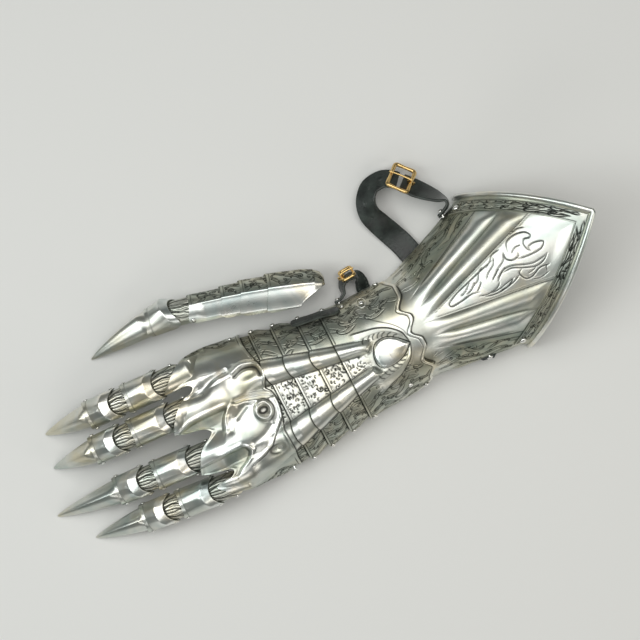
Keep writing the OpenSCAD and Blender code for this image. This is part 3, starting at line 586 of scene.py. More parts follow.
def cuff_front(f):
    a = np.abs(f)
    return -2 + np.where(a > 60, 4.5 * sm(60, 72, a) - 12 * sm(78, 90, a), 0.0)


def lobes(x):
    c = [-36, -21, 1.5, 21, 45]
    d = np.min([np.abs(x - q) for q in c], axis=0)
    return -10 - 6.5 * sm(0, 9, d)


def wrist_rear(f):
    f = np.asarray(f, float)
    x = srf(np.full(f.shape, -8.0), f, 0.0)[..., 0]
    a = np.abs(f)
    return np.where(a < 62, lobes(x), np.where(a < 68, -11 + (a - 62) * 0.3, np.where(a < 76, -9.2 + (a - 68) * 0.5, -5.2 + (a - 76) * 0.95)))


def flare(d):
    d = np.asarray(d, float)
    return np.where(d < 6, 3.4 * (1 - np.clip(d, 0, 6) / 6) ** 2, 0.0)


def spread(parts):
    """unequal column positions: [(from, to, step), ...]"""
    out = []
    for a, b, s in parts:
        n = max(2, int(round((b - a) / s)))
        out += list(np.linspace(a, b, n, endpoint=False))
    out.append(parts[-1][1])
    return np.array(out)


def tongue(R, p0, ang, L, W, hand=1, w=0.42, inner=2):
    """flame tongue: S-shaped spine, two outlines that meet in a hooked tip, inner lines that follow"""
    n = 46
    t = np.linspace(0, 1, n)
    th = ang + hand * (0.62 * np.sin(t * 5.2 + 0.2) - 2.9 * np.clip(t - 0.72, 0, 1) ** 1.2 * 3.0)
    d = np.stack([np.cos(th), np.sin(th)], -1) * L / (n - 1)
    c = np.asarray(p0) + np.concatenate([[[0, 0]], np.cumsum(d[:-1], 0)])
    dd = np.gradient(c, axis=0)
    dd /= np.linalg.norm(dd, axis=1)[:, None]
    pn = np.stack([-dd[:, 1], dd[:, 0]], -1)
    ww = W * np.sin(math.pi * np.clip(t, 0, 1) ** 0.8) ** 0.8 * (1 - 0.45 * t)
    R.line(c + pn * ww[:, None], w, 1.0, (0.2, 0.12))
    R.line(c - pn * (ww * 0.9)[:, None], w * 0.9, 0.95, (0.25, 0.12))
    for k in range(inner):
        q = (k + 1) / (inner + 1) * 1.7 - 0.85
        a, b = 5 + 4 * k, 30 - 3 * k
        R.line((c + pn * (ww * q)[:, None])[a:b], w * 0.62, 0.7, (0.3, 0.3))
    R.bump(c[6:-8:2], max(W * 0.7, 0.6), 0.35)


def flame_field(R, us, v0, v1, ang, L, W, rng, side, w=0.42, step=0.62):
    """staggered rows of flame tongues, scrolls between them"""
    for k, u in enumerate(us):
        v = v0 + (0.5 * L * step if k % 2 else 0)
        sg = -1 if v1 < v0 else 1
        i = 0
        while (v1 - v) * sg > L * 0.35:
            j = 0.85 + 0.3 * rng.rand()
            hand = side * (1 if (i + k) % 2 else -1)
            tongue(R, [u + 1.2 * rng.randn() * 0.5, v], ang(u, v) + 0.16 * rng.randn(), L * j, W * j, hand, w)
            if (i + k) % 2:
                scroll(R, [u + hand * W * 1.5, v + sg * L * 0.35], ang(u, v) + hand * 0.8, W * 0.95, hand, 1.3, w * 0.9)
            v += sg * L * step
            i += 1


def cuff_relief():
    R = Relief(-130, 130, -185, 5, 0.2)
    rng = np.random.RandomState(3)
    for s in (-1, 1):
        flame_field(R, [s * 44, s * 53.5, s * 63, s * 72.5, s * 82, s * 91.5, s * 101], -16, -165,
                    lambda u, v: -math.pi / 2 + s * 0.22, 27, 2.9, rng, s, 0.44)
    return R


def fan_relief():
    """central fan, drawn in millimetres across and along"""
    R = Relief(-34, 34, -165, -18, 0.2)
    strokes = [
        ([(12.1, -90.3), (10.1, -78.8), (7.5, -65.7), (5.5, -55.5), (2.4, -47.6), (0.3, -46.2), (-1.5, -48.1), (-1.9, -55.4), (-1.5, -64.7), (-3.5, -71.5)], 0.5),
        ([(1.8, -57.4), (2.8, -62.1), (7.5, -68.0)], 0.42), ([(0.3, -61.8), (1.7, -67.5), (5.5, -71.4)], 0.42),
        ([(2.8, -68.1), (4.8, -74.0), (9.6, -77.5), (11.9, -81.7)], 0.46), ([(-2.2, -70.2), (0.1, -73.7), (2.6, -76.0)], 0.42),
        ([(13.8, -92.5), (8.6, -90.0), (5.4, -84.3), (2.0, -80.9)], 0.46), ([(-0.3, -86.2), (4.0, -92.5), (7.2, -98.3), (12.1, -100.2)], 0.5),
        ([(9.9, -83.9), (12.4, -88.9), (15.8, -92.3), (16.5, -99.2)], 0.42), ([(12.8, -101.1), (6.9, -100.8), (3.3, -105.1), (3.7, -109.9), (6.1, -111.0)], 0.55),
        ([(11.1, -104.3), (17.9, -106.7), (19.6, -113.9), (17.4, -121.8), (13.1, -125.3), (11.3, -123.7), (12.5, -119.9), (9.3, -117.7), (4.2, -118.6), (1.9, -120.7)], 0.55),
        ([(1.5, -120.5), (5.6, -120.3), (5.8, -125.9), (2.8, -132.1), (-0.7, -128.9), (-1.1, -123.5), (0.2, -115.1), (2.2, -108.4)], 0.5),
        ([(-2.0, -88.9), (1.0, -96.0), (-0.2, -103.2), (-3.9, -110.3), (-7.0, -117.7), (-7.4, -125.3), (-6.8, -130.8)], 0.5),
        ([(-6.8, -130.8), (-9.9, -125.5), (-10.3, -118.6), (-5.9, -109.2), (-1.4, -101.5), (-0.7, -94.0)], 0.55),
        ([(-6.2, -108.0), (-8.2, -104.9), (-14.0, -107.5), (-15.5, -113.1), (-13.0, -121.0), (-14.4, -128.8)], 0.6),
        ([(-14.4, -128.8), (-14.6, -125.6), (-18.2, -124.7)], 0.5), ([(-6.2, -70.0), (-8.4, -76.9), (-8.1, -84.9), (-5.3, -88.7)], 0.46),
        ([(-11.6, -86.6), (-11.8, -93.3), (-9.0, -98.7)], 0.55), ([(-9.2, -78.8), (-9.9, -86.2), (-9.0, -94.8), (-8.6, -100.0)], 0.46),
        ([(4.5, -92.7), (-1.4, -84.3)], 0.42), ([(1.8, -97.1), (-1.6, -90.7), (-4.7, -87.7)], 0.46),
        ([(-8.9, -73.7), (-11.2, -80.3), (-12.2, -87.6), (-11.3, -98.5), (-8.7, -105.1)], 0.5), ([(8.3, -106.4), (10.7, -110.4), (10.2, -115.3)], 0.42),
        ([(-11.9, -111.2), (-11.8, -115.1), (-11.2, -118.1)], 0.42),
        ([(-17.5, -112.0), (-19.8, -118.5), (-19.0, -126.0)], 0.42), ([(21.5, -111.0), (22.5, -118.0), (20.5, -124.0)], 0.42),
    ]
    for p, w in strokes:
        R.line(cr(p, 12), w, 1.0, (0.16, 0.16))
    for s in (-1, 1):
        v = np.linspace(-34, -152, 60)
        R.line(np.stack([s * (-0.245 * (v + 20) - 1.5), v], -1), 0.3, 0.6, (0.02, 0.02))
    return R


R_SIDE, R_FAN = cuff_relief(), fan_relief()


def cuff_u(f):
    return np.asarray(f) / 90.0 * 112.0


def cuff_extra(x, y, f):
    a, m, b = fan_edges(y)
    xx = x - (0.9 - 0.11 * y)
    q = np.abs(xx)
    dF, gF = engrave(R_FAN, xx, y, 0.42, 0.0)
    dS, gS = engrave(R_SIDE, cuff_u(f), y, 0.42, 0.35)
    inF = (q < a - 0.8) & (y < -26)
    inS = q > b + 2.5
    fade = sm(2.5, 4, q - b) * (1 - sm(-20, -15, y))
    return np.where(inF, dF, np.where(inS, dS * fade, 0.0)), np.where(inF, gF, np.where(inS, gS * fade, 0.0))


def cuff_pt(y, f, off):
    """cuff surface whose flutes run out in front of the border band"""
    k = (1 - sm(17.6, 32, y - cuff_rear(f)))[..., None]
    return srf(y, f, off, False) * k + srf(y, f, off) * (1 - k)


def cuff():
    f = spread([(-90, -56, 0.62), (-56, -24, 0.42), (-24, 24, 0.42), (24, 56, 0.42), (56, 90, 0.62)])
    d = np.concatenate([np.linspace(0, 6, 9), np.linspace(7, 17.6, 8)])
    v = np.linspace(0, 1, 250)[1:]
    rows = []
    F = f[None, :]
    y1 = cuff_rear(F) + d[:, None]
    a = cuff_rear(F) + 17.6
    y2 = a + (cuff_front(F) - a) * v[:, None]
    Y = np.concatenate([y1, y2])
    D = np.concatenate([np.broadcast_to(d[:, None], y1.shape), np.full(y2.shape, 99.0)])
    FF = np.broadcast_to(F, Y.shape)
    off = flare(D) - 1.1 * sm(-34, -20, Y)
    base = srf(Y, FF, 0.0)
    ex, g = cuff_extra(base[..., 0], Y, FF)
    ex = ex * (D > 50) + 0.45 * flutes(base[..., 0], Y) * (D > 50) * sm(20, 40, -Y) * sm(17.6, 30, Y - cuff_rear(FF))
    g = g * (D > 50)
    # painted shade lines at the creases of the flutes
    aa, mm, bb = fan_edges(Y)
    q = np.abs(base[..., 0] - 0.9 + 0.11 * Y)
    cre = np.zeros(Y.shape)
    for e, s_, w in ((aa, 0.75, 0.6), (mm, 0.5, 0.8), (bb, 0.85, 0.8)):
        cre = np.maximum(cre, s_ * np.exp(-((q - e) / w) ** 2))
    cre *= (D > 50) * sm(22, 40, -Y) * (aa > 1.5)
    # painted shadow line on the cuff just behind the wrist plate's rear edge
    wr = wrist_rear(FF)
    cre = np.maximum(cre, 0.95 * np.exp(-((Y - wr + 0.55) / 0.75) ** 2))
    M = Mesh()
    patina_and_painted_shade = np.maximum(sm(-1.0, 2.0, q - bb) * sm(20, 34, -Y), 0.35 * (1 - sm(20, 34, -Y)))
    # painted shade along the flute valleys
    for e, s_ in ((aa, 0.45), (mm, 0.75), (bb, 0.6)):
        patina_and_painted_shade = np.maximum(patina_and_painted_shade, s_ * np.exp(-((q - e) / (0.7 + 0.10 * (bb - aa))) ** 2) * sm(24, 44, -Y))
    # painted shade on the flute next to the middle fan, lighter along its middle
    band = sm(-0.2, 1.2, q - aa) * (1 - sm(-1.0, 0.8, q - mm))
    band = band * (1 - 0.5 * np.exp(-((q - 0.5 * (aa + mm)) / (0.16 * np.maximum(mm - aa, 0) + 0.1)) ** 2))
    patina_and_painted_shade = np.maximum(patina_and_painted_shade, 0.62 * band * sm(26, 46, -Y) * (aa > 1.0))
    patina_and_painted_shade = np.where(D < 18, 0.75, patina_and_painted_shade)
    M.shell(cuff_pt(Y, FF, off + ex), cuff_pt(Y, FF, off - 1.2 + np.minimum(ex + 0.6, 0)), np.maximum(g, cre), 0.35, patina_and_painted_shade)
    # rolled wire edge all along the rear
    ff = np.linspace(-89.3, 89.3, 260)
    ye = cuff_rear(ff) + 0.9
    e = srf(ye, ff, 3.4 - 0.7, False)
    M.tube(e, 2.1, 18)
    M.out("cuff_shell", M_PLATE, "cuff", ("cuff_plate",), "steel", 50)


def band_piece():
    R = Relief(-135, 135, -3, 20, 0.18)
    rng = np.random.RandomState(11)
    for s in (-1, 1):
        u = 2.0
        k = 0
        while u < 98:
            near = 1 - float(sm(6, 40, u))
            L = 9.5 + 2.5 * rng.rand()
            w = 0.40 + 0.26 * near
            a0 = 0 if s > 0 else math.pi
            for row, v in ((0, 8.0), (1, 12.6)):
                hand = s * (1 if (k + row) % 2 else -1)
                tongue(R, [s * (u + 3.2 * row), v + 0.7 * rng.randn() * 0.6], a0 + 0.5 * (1 if row else -1) * s * (1 if k % 2 else -0.3), L, 1.75, hand, w, 1 if near < 0.4 else 0)
            if k % 2:
                scroll(R, [s * (u + 4.5), 10.2], a0 + 0.9 * s, 2.3, s if k % 4 == 1 else -s, 1.35, w)
            if near > 0.3:
                for m in range(3):
                    R.line([[s * (u + 6 * rng.rand()), 6.5 + 8.5 * rng.rand()], [s * (u + 2 + 6 * rng.rand()), 6.5 + 8.5 * rng.rand()]], 0.6 * near + 0.2, 0.9)
            u += 6.6
            k += 1
    f = spread([(-70, 70, 0.26)])
    d = np.linspace(1.6, 17.6, 44)
    F = np.broadcast_to(f[None, :], (len(d), len(f)))
    D = np.broadcast_to(d[:, None], F.shape)
    Y = cuff_rear(F) + D
    dd, g = engrave(R, cuff_u(F) * 1.02, D, 0.5, 0.45)
    k = sm(5.6, 6.4, D) * (1 - sm(15.6, 16.3, D))
    line = np.maximum(0.9 * np.exp(-((D - 5.6) / 0.4) ** 2), np.exp(-((D - 16.2) / 0.42) ** 2))
    g = np.maximum(g * k, 0.85 * line)
    off = 1.15 + flare(D) * 0.995 + dd * k - 0.25 * line
    # darker towards the sides of the band; painted shade in the flared hollow behind the border line
    patina_and_painted_shade = 0.30 + 0.55 * sm(6, 34, np.abs(cuff_u(F)))
    patina_and_painted_shade = np.where(D < 5.6, 0.9, patina_and_painted_shade)
    M = Mesh()
    M.shell(srf(Y, F, off, False), srf(Y, F, 0.1 + flare(D), False), g, 0.3, patina_and_painted_shade)
    M.out("cuff_engraved_band", M_PLATE, "cuff", ("cuff_border_band",), "bright_steel", 50)


cuff()
band_piece()


# ---------------------------------------------------------------- rivets
def at_xy(x, y, off):
    e = 2 / NN(y)
    s = np.clip((x - XC(y)) / HW(y), -1, 1)
    f = np.degrees(np.arcsin(sp(s, 1 / e)))
    return srf(y, f, off)


def surf_dir(y, f):
    p, q = srf(y, f, 0.0), srf(y, f, 1.0)
    return (q - p).reshape(3)


def side_rivet(M, y, z, side, out, ln, r=2.2):
    M.revolve(rivet_profile(r, ln), [xs(y, z, side) + side * out, y, z], [side, 0, 0])


M = Mesh()
for f in (-66, 66):
    y = float(cuff_rear(f)) + 12
    M.revolve(rivet_profile(2.8, 2.6), srf(y, f, 1.25, False).reshape(3), surf_dir(y, f))
M.revolve(rivet_profile(2.6, 9.4), [-44.3, -57.5, 21], [-1, 0, 0])
M.revolve(rivet_profile(2.6, 6.8), [75.4, -75, 15], [1, 0, 0])
M.out("cuff_rivet_heads", M_RIVET, "cuff", ("cuff_rivets",), "bright_steel", 40)
M = Mesh()
for s in (-1, 1):
    side_rivet(M, -3, 20, s, 2.3, 5.4, 2.6)
    side_rivet(M, 44, 17, s, 0.35, 5.2)
M.revolve(rivet_profile(2.0, 5.2), [50.4, 29, 9.5], [1, 0, 0])
for x, y, o, r in ((38.2, 13.9, 1.55, 2.1), (43.0, 28.6, 0.8, 1.7), (-33.6, 8.4, 1.8, 2.0)):
    p, q = at_xy(np.array(x), np.array(y), o + 0.05).reshape(3), at_xy(np.array(x), np.array(y), o + 1).reshape(3)
    M.revolve(rivet_profile(r, 2.7), p, q - p)
M.out("wrist_rivet_heads", M_RIVET, "wrist", ("wrist_rivets",), "bright_steel", 40)
for k, y in enumerate((64, 84, 101.5)):
    M = Mesh()
    for s in (-1, 1):
        side_rivet(M, y, 17, s, 0.35, 5.2)
    M.out("lame_%d_rivet_heads" % (k + 1), M_RIVET, "lame_%d" % (k + 1), ("lame_%d_rivets" % (k + 1),), "bright_steel", 40)


# ---------------------------------------------------------------- hand plates
def band_mesh(M, f, rear, front, us, offs, t, extra=None, rows=60, ease=None, r=0.3):
    u = np.linspace(0, 1, rows)
    Y = rear[None, :] + (front - rear)[None, :] * u[:, None]
    F = np.broadcast_to(f[None, :], Y.shape)
    O = np.broadcast_to(np.interp(u, us, offs)[:, None], Y.shape)
    base = srf(Y, F, 0.0)
    if extra is None:
        d, g = 0.0, None
    else:
        d, g, patina_and_painted_shade = extra(base[..., 0], Y, F, rear[None, :] + 0 * Y, front[None, :] + 0 * Y)
    M.shell(srf(Y, F, O + d), srf(Y, F, O - t + np.minimum(d + 0.6, 0)), g, r, patina_and_painted_shade)
    return Y, F


def hand_u(f):
    return np.asarray(f) / 90.0 * 82.0


def hand_relief():
    R = Relief(-95, 95, -22, 130, 0.2)
    rng = np.random.RandomState(5)
    for s in (-1, 1):
        flame_field(R, [s * 25, s * 33, s * 41, s * 49, s * 57, s * 65, s * 73], -14, 126,
                    lambda u, v: math.pi / 2 - s * 0.12, 21, 2.4, rng, s, 0.42)
    return R


def ground_relief():
    """tooled ground between the tendon ridges: short curls and punched dots"""
    R = Relief(-40, 40, 12, 128, 0.18)
    rng = np.random.RandomState(8)
    for k in range(640):
        u, v = -34 + 62 * rng.rand(), 26 + 98 * rng.rand()
        a = rng.rand() * 6.28
        if rng.rand() > 0.55:
            R.line(np.array([[u, v], [u + 1.0 * math.cos(a), v + 1.0 * math.sin(a)]]), 0.5, 1.0, (0.05, 0.05))
        else:
            R.line(walk([u, v], a, 2.6 + 1.6 * rng.rand(), lambda t: 3.2 * t, 9), 0.4, 1.0, (0.1, 0.1))
    for k in range(16):
        scroll(R, [-22 + 40 * rng.rand(), 36 + 5.4 * k], rng.rand() * 6.28, 2.6 + 1.2 * rng.rand(), 1 if k % 2 else -1, 1.3, 0.5)
    return R


R_HAND, R_GROUND = hand_relief(), ground_relief()


def over_line(g, y, edge):
    """painted shadow line just beyond the edge of the plate that lies on top"""
    return np.maximum(g, 0.95 * np.exp(-((y - edge - 0.45) / 0.65) ** 2) * (y > edge - 0.5))


def lame_front(k, f):
    """front edge of the wrist plate (-1) or of a sliding lame; it bows forward over each ridge"""
    if k < 0:
        return 48.0 + 0 * f
    yk = LY[k][1]
    x = srf(np.full(np.shape(f), float(yk)), f, 0.0)[..., 0]
    w = float(RW(yk))
    bow = 0.0 if k == 3 else 2.4 * np.maximum(pipe((x - float(R1(yk))) / w), pipe((x - float(R2(yk))) / w)) - 0.9
    return yk + 0 * f - (0 if k == 3 else 5 * sm(78, 90, np.abs(f))) + bow


LY = [[40.5, 67.5], [60.5, 87.5], [80.5, 105], [98, 123]]


def hand_extra(x, y, f, rear, front):
    dS, gS = engrave(R_HAND, hand_u(f), y, 0.36, 0.3)
    dG, gG = engrave(R_GROUND, x, y, 0.4, 0.0)
    c1, c2, w = R1(y), R2(y), RW(y)
    mid = (x < c1) & (x > c2)
    on = ((np.abs(x - c1) < w + 0.6) | (np.abs(x - c2) < w + 0.6)) & (y > 16)
    d, g = np.where(mid, dG, dS), np.where(mid, gG, gS)
    k = np.where(on, 0.0, 1.0)
    k = k * sm(1.6, 3.0, front - y)
    # a border line behind the front edge, a painted shade line in the crease at the foot of each ridge
    line = 0.85 * np.exp(-((front - y - 1.7) / 0.42) ** 2) * np.where(on, 0.0, 1.0)
    cre = np.zeros(np.shape(x))
    for c in (c1, c2):
        for s in (-1, 1):
            cre = np.maximum(cre, 0.85 * np.exp(-((x - c - s * (w + 0.2)) / 0.65) ** 2))
    cre = cre * sm(24, 36, y) * (1 - sm(108, 118, y))
    g = np.maximum(np.maximum(g * k, line), cre)
    out = np.maximum(sm(0.2, 1.2, x - c1 - w), sm(0.2, 1.2, c2 - w - x))
    patina_and_painted_shade = np.where(mid, 0.12, 0.75 * out) * sm(12, 24, y) * np.where(on, 0.0, 1.0)
    patina_and_painted_shade = np.maximum(patina_and_painted_shade, 0.7 * (1 - sm(12, 24, y)) * sm(16, 22, np.abs(x + 1)))
    return d * k - 0.22 * line - 0.3 * cre, g, patina_and_painted_shade


def smooth1(v, k):
    w = np.hanning(2 * k + 3)[1:-1]
    w /= w.sum()
    return np.convolve(np.pad(v, k, mode="edge"), w, mode="valid")


def line_dist(x, y, pts, k=14):
    p = cr(pts, k)
    d = np.full(np.shape(x), 1e9)
    for q in p:
        d = np.minimum(d, (x - q[0]) ** 2 + (y - q[1]) ** 2)
    return np.sqrt(d)


BOSS = [[-4.4, -5.9], [-0.6, -2.0], [2.8, 1.6], [6.5, 7.0], [7.6, 13.2], [6.1, 18.9], [1.2, 22.6], [-4.7, 24.4], [-9.8, 23.9], [-13.4, 20.9], [-14.0, 14.4], [-13.2, 7.8], [-10.7, 1.6], [-7.0, -3.3], [-4.4, -5.9]]
PETAL = {1: [[-4.4, -5.9], [1.0, -5.0], [5.9, -3.2], [11.9, 3.0], [15.3, 9.0], [17.6, 15.5], [19.6, 24.9], [21.9, 35.4]],
         -1: [[-4.9, -6.0], [-9.5, -4.5], [-15.1, -1.1], [-19.2, 4.1], [-23.6, 11.2], [-27.1, 21.1], [-33.4, 35.3]]}


def boss_ratio(x, y):
    """1 on the outline of the boss, less inside it"""
    p = cr(BOSS, 10)[:-1]
    dx, dy = p[:, 0] + 3.6, p[:, 1] - 12.0
    a, r = np.arctan2(dy, dx), np.hypot(dx, dy)
    k = np.argsort(a)
    a, r = a[k], r[k]
    a = np.concatenate([a - 2 * math.pi, a, a + 2 * math.pi])
    r = np.concatenate([r, r, r])
    q, t = np.hypot(x + 3.6, y - 12.0), np.arctan2(y - 12.0, x + 3.6)
    return q / np.interp(t, a, r)


def leaf_wing(x, y):
    """raised pointed petals either side of the boss, dark lines and hatching between"""
    h = np.zeros(np.shape(x))
    g = np.zeros(np.shape(x))
    on = np.zeros(np.shape(x))
    far = (y > 40)
    for s in (-1, 1):
        out = cr(PETAL[s], 14)
        xo = np.interp(y, out[:, 1], out[:, 0])
        e = (xo - x) * s
        ins = sm(0, 1.3, e) * sm(-7.6, -5.2, y) * (1 - sm(26, 35, y)) * ((x + 4.6) * s > 0)
        u = np.clip(e / 9.0, 0, 1)
        h = np.maximum(h, ins * (1.7 - 1.3 * u))
        on = np.maximum(on, ins)
        dd = line_dist(x, y, PETAL[s])
        g = np.maximum(g, 0.97 * np.exp(-(dd / 0.62) ** 2) * (1 - sm(29, 35, y)))
        # inner edge of the petal and the hatching towards the boss
        mid = [[2.0, -3.0], [7.6, 2.0], [11.4, 8.0], [13.2, 14.0], [14.0, 20.0], [14.2, 27.0]] if s > 0 else [[-9.0, -2.6], [-13.6, 1.4], [-17.0, 7.0], [-18.8, 13.0], [-20.2, 19.0], [-21.6, 26.0]]
        dd = line_dist(x, y, mid)
        g = np.maximum(g, 0.6 * np.exp(-(dd / 0.4) ** 2))
        m = cr(mid, 3)
        for k in range(1, len(m) - 1):
            t = m[k + 1] - m[k - 1]
            t = t / np.hypot(*t)
            nrm = np.array([-t[1], t[0]]) * s
            a = m[k] + nrm * 0.4
            if k % 2:
                continue
            dd = line_dist(x, y, [a, a + nrm * 1.6 + t * 1.8, a + nrm * 3.6 + t * 2.2], 8)
            g = np.maximum(g, 0.92 * np.exp(-(dd / 0.62) ** 2))
    dd = line_dist(x, y, [[1, -6.6], [7, -5.0], [13.6, 0.4], [19.7, 8.3], [25.4, 15.1], [30.6, 19.3], [36.2, 21.3]])
    g = np.maximum(g, 0.8 * np.exp(-(dd / 0.5) ** 2))
    dd = line_dist(x, y, [[-9.4, -6.2], [-16.2, -2.6], [-21.2, 3.0], [-26.4, 10.6], [-31.5, 15.6]])
    g = np.maximum(g, 0.6 * np.exp(-(dd / 0.45) ** 2))
    b = boss_ratio(x, y)
    under = 1 - sm(1.05, 1.5, b)
    h = h * (1 - 0.8 * (1 - sm(1.0, 1.35, b))) - ridges(x, y) * under
    # painted shade under the boss and a painted shadow ring just outside its outline
    g = np.maximum(g, 1 - sm(1.03, 1.09, b))
    return h, g, np.maximum(on, under)


def wrist_extra(x, y, f, rear, front):
    d, g, patina_and_painted_shade = hand_extra(x, y, f, rear, front)
    e = y - rear
    k = sm(3.6, 4.6, e)
    line = 0.95 * np.exp(-((e - 3.0) / 0.42) ** 2)
    wh, wg, on = leaf_wing(x, y)
    clear = 1 - on
    bead = 0.45 * np.exp(-((e - 1.1) / 0.9) ** 2)
    patina_and_painted_shade = np.where(e < 2.7, 0.0, patina_and_painted_shade * clear)
    patina_and_painted_shade = np.maximum(patina_and_painted_shade, 0.35 * on)
    return d * k * clear - 0.3 * line + wh + bead, np.maximum(np.maximum(g * k * clear, line), wg * sm(3, 4, e)), patina_and_painted_shade


def wrist_plate():
    f = spread([(-90, 90, 0.42)])
    M = Mesh()
    band_mesh(M, f, smooth1(wrist_rear(f), 2), np.full(len(f), 48.0), [0, 0.12, 0.25, 0.4, 0.6, 0.8, 1], [2.1, 2.1, 2.0, 1.4, 0.6, 0, 0], 1.2, wrist_extra, 150)
    # a raised ring round the rivet at the strap's side
    a = np.linspace(0, 2 * math.pi, 40)
    M.tube(at_xy(38.2 + 3.5 * np.cos(a), 13.9 + 3.5 * np.sin(a), 1.5).reshape(-1, 3), 0.55, 10)
    M.out("wrist_shell", M_PLATE, "wrist", ("wrist_plate",), "steel", 50)


def boss():
    c0 = np.array([-3.6, 12.0])
    rim_ = cr(BOSS, 9)[:-1]
    n, m = len(rim_), 34
    q = np.concatenate([np.linspace(1, 0.86, 14), np.linspace(0.83, 0.03, m - 14)])
    X = c0[0] + (rim_[None, :, 0] - c0[0]) * q[:, None]
    Y = c0[1] + (rim_[None, :, 1] - c0[1]) * q[:, None]
    # flat plateau with a rounded shoulder and a faint keel towards the rear point
    keel = 0.5 * np.exp(-((X + 4.2) / 2.6) ** 2) * (1 - sm(-3, 9, Y))
    prof = 2.0 + 3.0 * np.clip(1 - q[:, None] ** 9, 0, 1) ** 0.55 + keel * (1 - q[:, None] ** 6) + 0.35 * (1 - q[:, None] ** 2)
    R = Relief(-20, 20, -8, 32, 0.15)
    rng = np.random.RandomState(2)
    for k in range(9):
        t = rng.rand() * 6.28
        rr = 9 * rng.rand() ** 0.6
        p = [-3.6 + rr * math.cos(t), 12 + 1.1 * rr * math.sin(t)]
        R.line(walk(p, t + 0.4, 3 + 4 * rng.rand(), lambda u: 0.3 * u, 9), 0.2, 0.6)
    d, g = engrave(R, X, Y, 0.12, 0)
    g = g * 0.35
    # painted shade line along the boss's outline
    rim = 1.0 * np.exp(-((q[:, None] - 1.0) / 0.03) ** 2) + 0 * X
    P = at_xy(X, Y, prof + d - ridges(X, Y))
    c = lambda o: at_xy(np.array(c0[0]), np.array(c0[1]), o).reshape(3)
    v = np.concatenate([P.reshape(-1, 3), [c(5.35)], at_xy(X[0], Y[0], 0.6 - ridges(X[0], Y[0])).reshape(-1, 3), [c(0.6)]])
    i = np.arange(n)
    ni = (i + 1) % n
    fs = [np.concatenate([np.stack([k * n + i, k * n + ni, (k + 1) * n + ni, (k + 1) * n + i], -1) for k in range(m - 1)])]
    top, bl, bc = m * n, m * n + 1, m * n + 1 + n
    fs.append(np.stack([(m - 1) * n + i, (m - 1) * n + ni, np.full(n, top)], -1))
    fs.append(np.stack([bl + i, bl + ni, ni, i], -1))
    fs.append(np.stack([bl + ni, bl + i, np.full(n, bc)], -1))
    gg = np.zeros(len(v))
    gg[: m * n] = np.maximum(g, rim).ravel()
    M = Mesh()
    M.add(v, fs, gg)
    M.out("wrist_spade_boss", M_BRIGHT, "wrist", ("wrist_boss",), "bright_steel", 45)


def knuckle_rear(x):
    return np.interp(x, [-46, -40, -30, -22, -12.2, -6, -0.2, 6, 10.8, 13.2, 14.8, 17.5, 22.5, 28.6, 34.5, 39.4, 46, 52], [112.5, 111.5, 111.8, 112.2, 109.4, 107.4, 106.6, 106.7, 107.9, 110.0, 111.0, 109.2, 106.4, 105.2, 107.0, 108.6, 110.5, 111.5])


def lames():
    f = spread([(-90, -24, 0.5), (-24, 26, 0.4), (26, 90, 0.5)])
    for k in range(4):
        r = LY[k]
        last = k == 3
        rear = r[0] + 6 * sm(72, 90, np.abs(f))
        front = lame_front(k, f)

        def ext(x, y, F, a, b):
            d, g, patina_and_painted_shade = hand_extra(x, y, F, a, b)
            e = y - lame_front(k - 1, F)
            # painted shadow line and painted shade that fades back from the front edge of the plate on top
            g = over_line(g, y, lame_front(k - 1, F))
            patina_and_painted_shade = np.maximum(patina_and_painted_shade, 0.62 * np.exp(-np.clip(e, 0, 30) / 4.5) * (e > -1))
            # painted shadow line under the knuckle plate's rear edge
            if last:
                g = np.maximum(g, 0.95 * np.exp(-((y - knuckle_rear(x) + 0.6) / 0.7) ** 2))
            return d, g, patina_and_painted_shade

        offs = [-2.6, -2.6 * 0.72, -2.6 * 0.55, -2.9, -3.7] if last else [-2.6, -2.6 * 0.85, -2.6 * 0.45, 0, 0]
        M = Mesh()
        band_mesh(M, f, rear, front, [0, 0.3, 0.55, 0.8, 1], offs, 1.2, ext, 66)
        M.out("hand_lame_%d" % (k + 1), M_PLATE, "lame_%d" % (k + 1), ("metacarpal_lame_%d" % (k + 1),), "steel", 50)


wrist_plate()
boss()
lames()


# ---------------------------------------------------------------- knuckle plate
KC = [[-52.5, 140], [-50.5, 152], [-47.5, 163], [-43, 173], [-38, 179.5], [-36, 178.5], [-35, 172], [-34, 165], [-31.5, 161.5], [-29, 164], [-28, 172], [-26.5, 181], [-24.5, 186],
      [-20, 184.5], [-13, 181], [-6, 175.5], [-1.5, 168], [2, 163.5], [5.5, 166], [8, 174], [9.5, 183], [12, 190.5], [16.5, 188.5], [23, 184], [30, 177], [33, 171], [34.5, 164.5], [37.5, 161], [40.2, 164.5],
      [41, 174], [42, 183], [46, 179.5], [50, 174], [55, 167.5], [59.5, 160], [62, 153], [63.5, 144]]


def kx2f(x, y=150.0):
    e = 2 / NN(y)
    s = np.clip((np.asarray(x, float) - XC(y)) / HW(y), -1, 1)
    return np.degrees(np.arcsin(sp(s, 1 / e)))


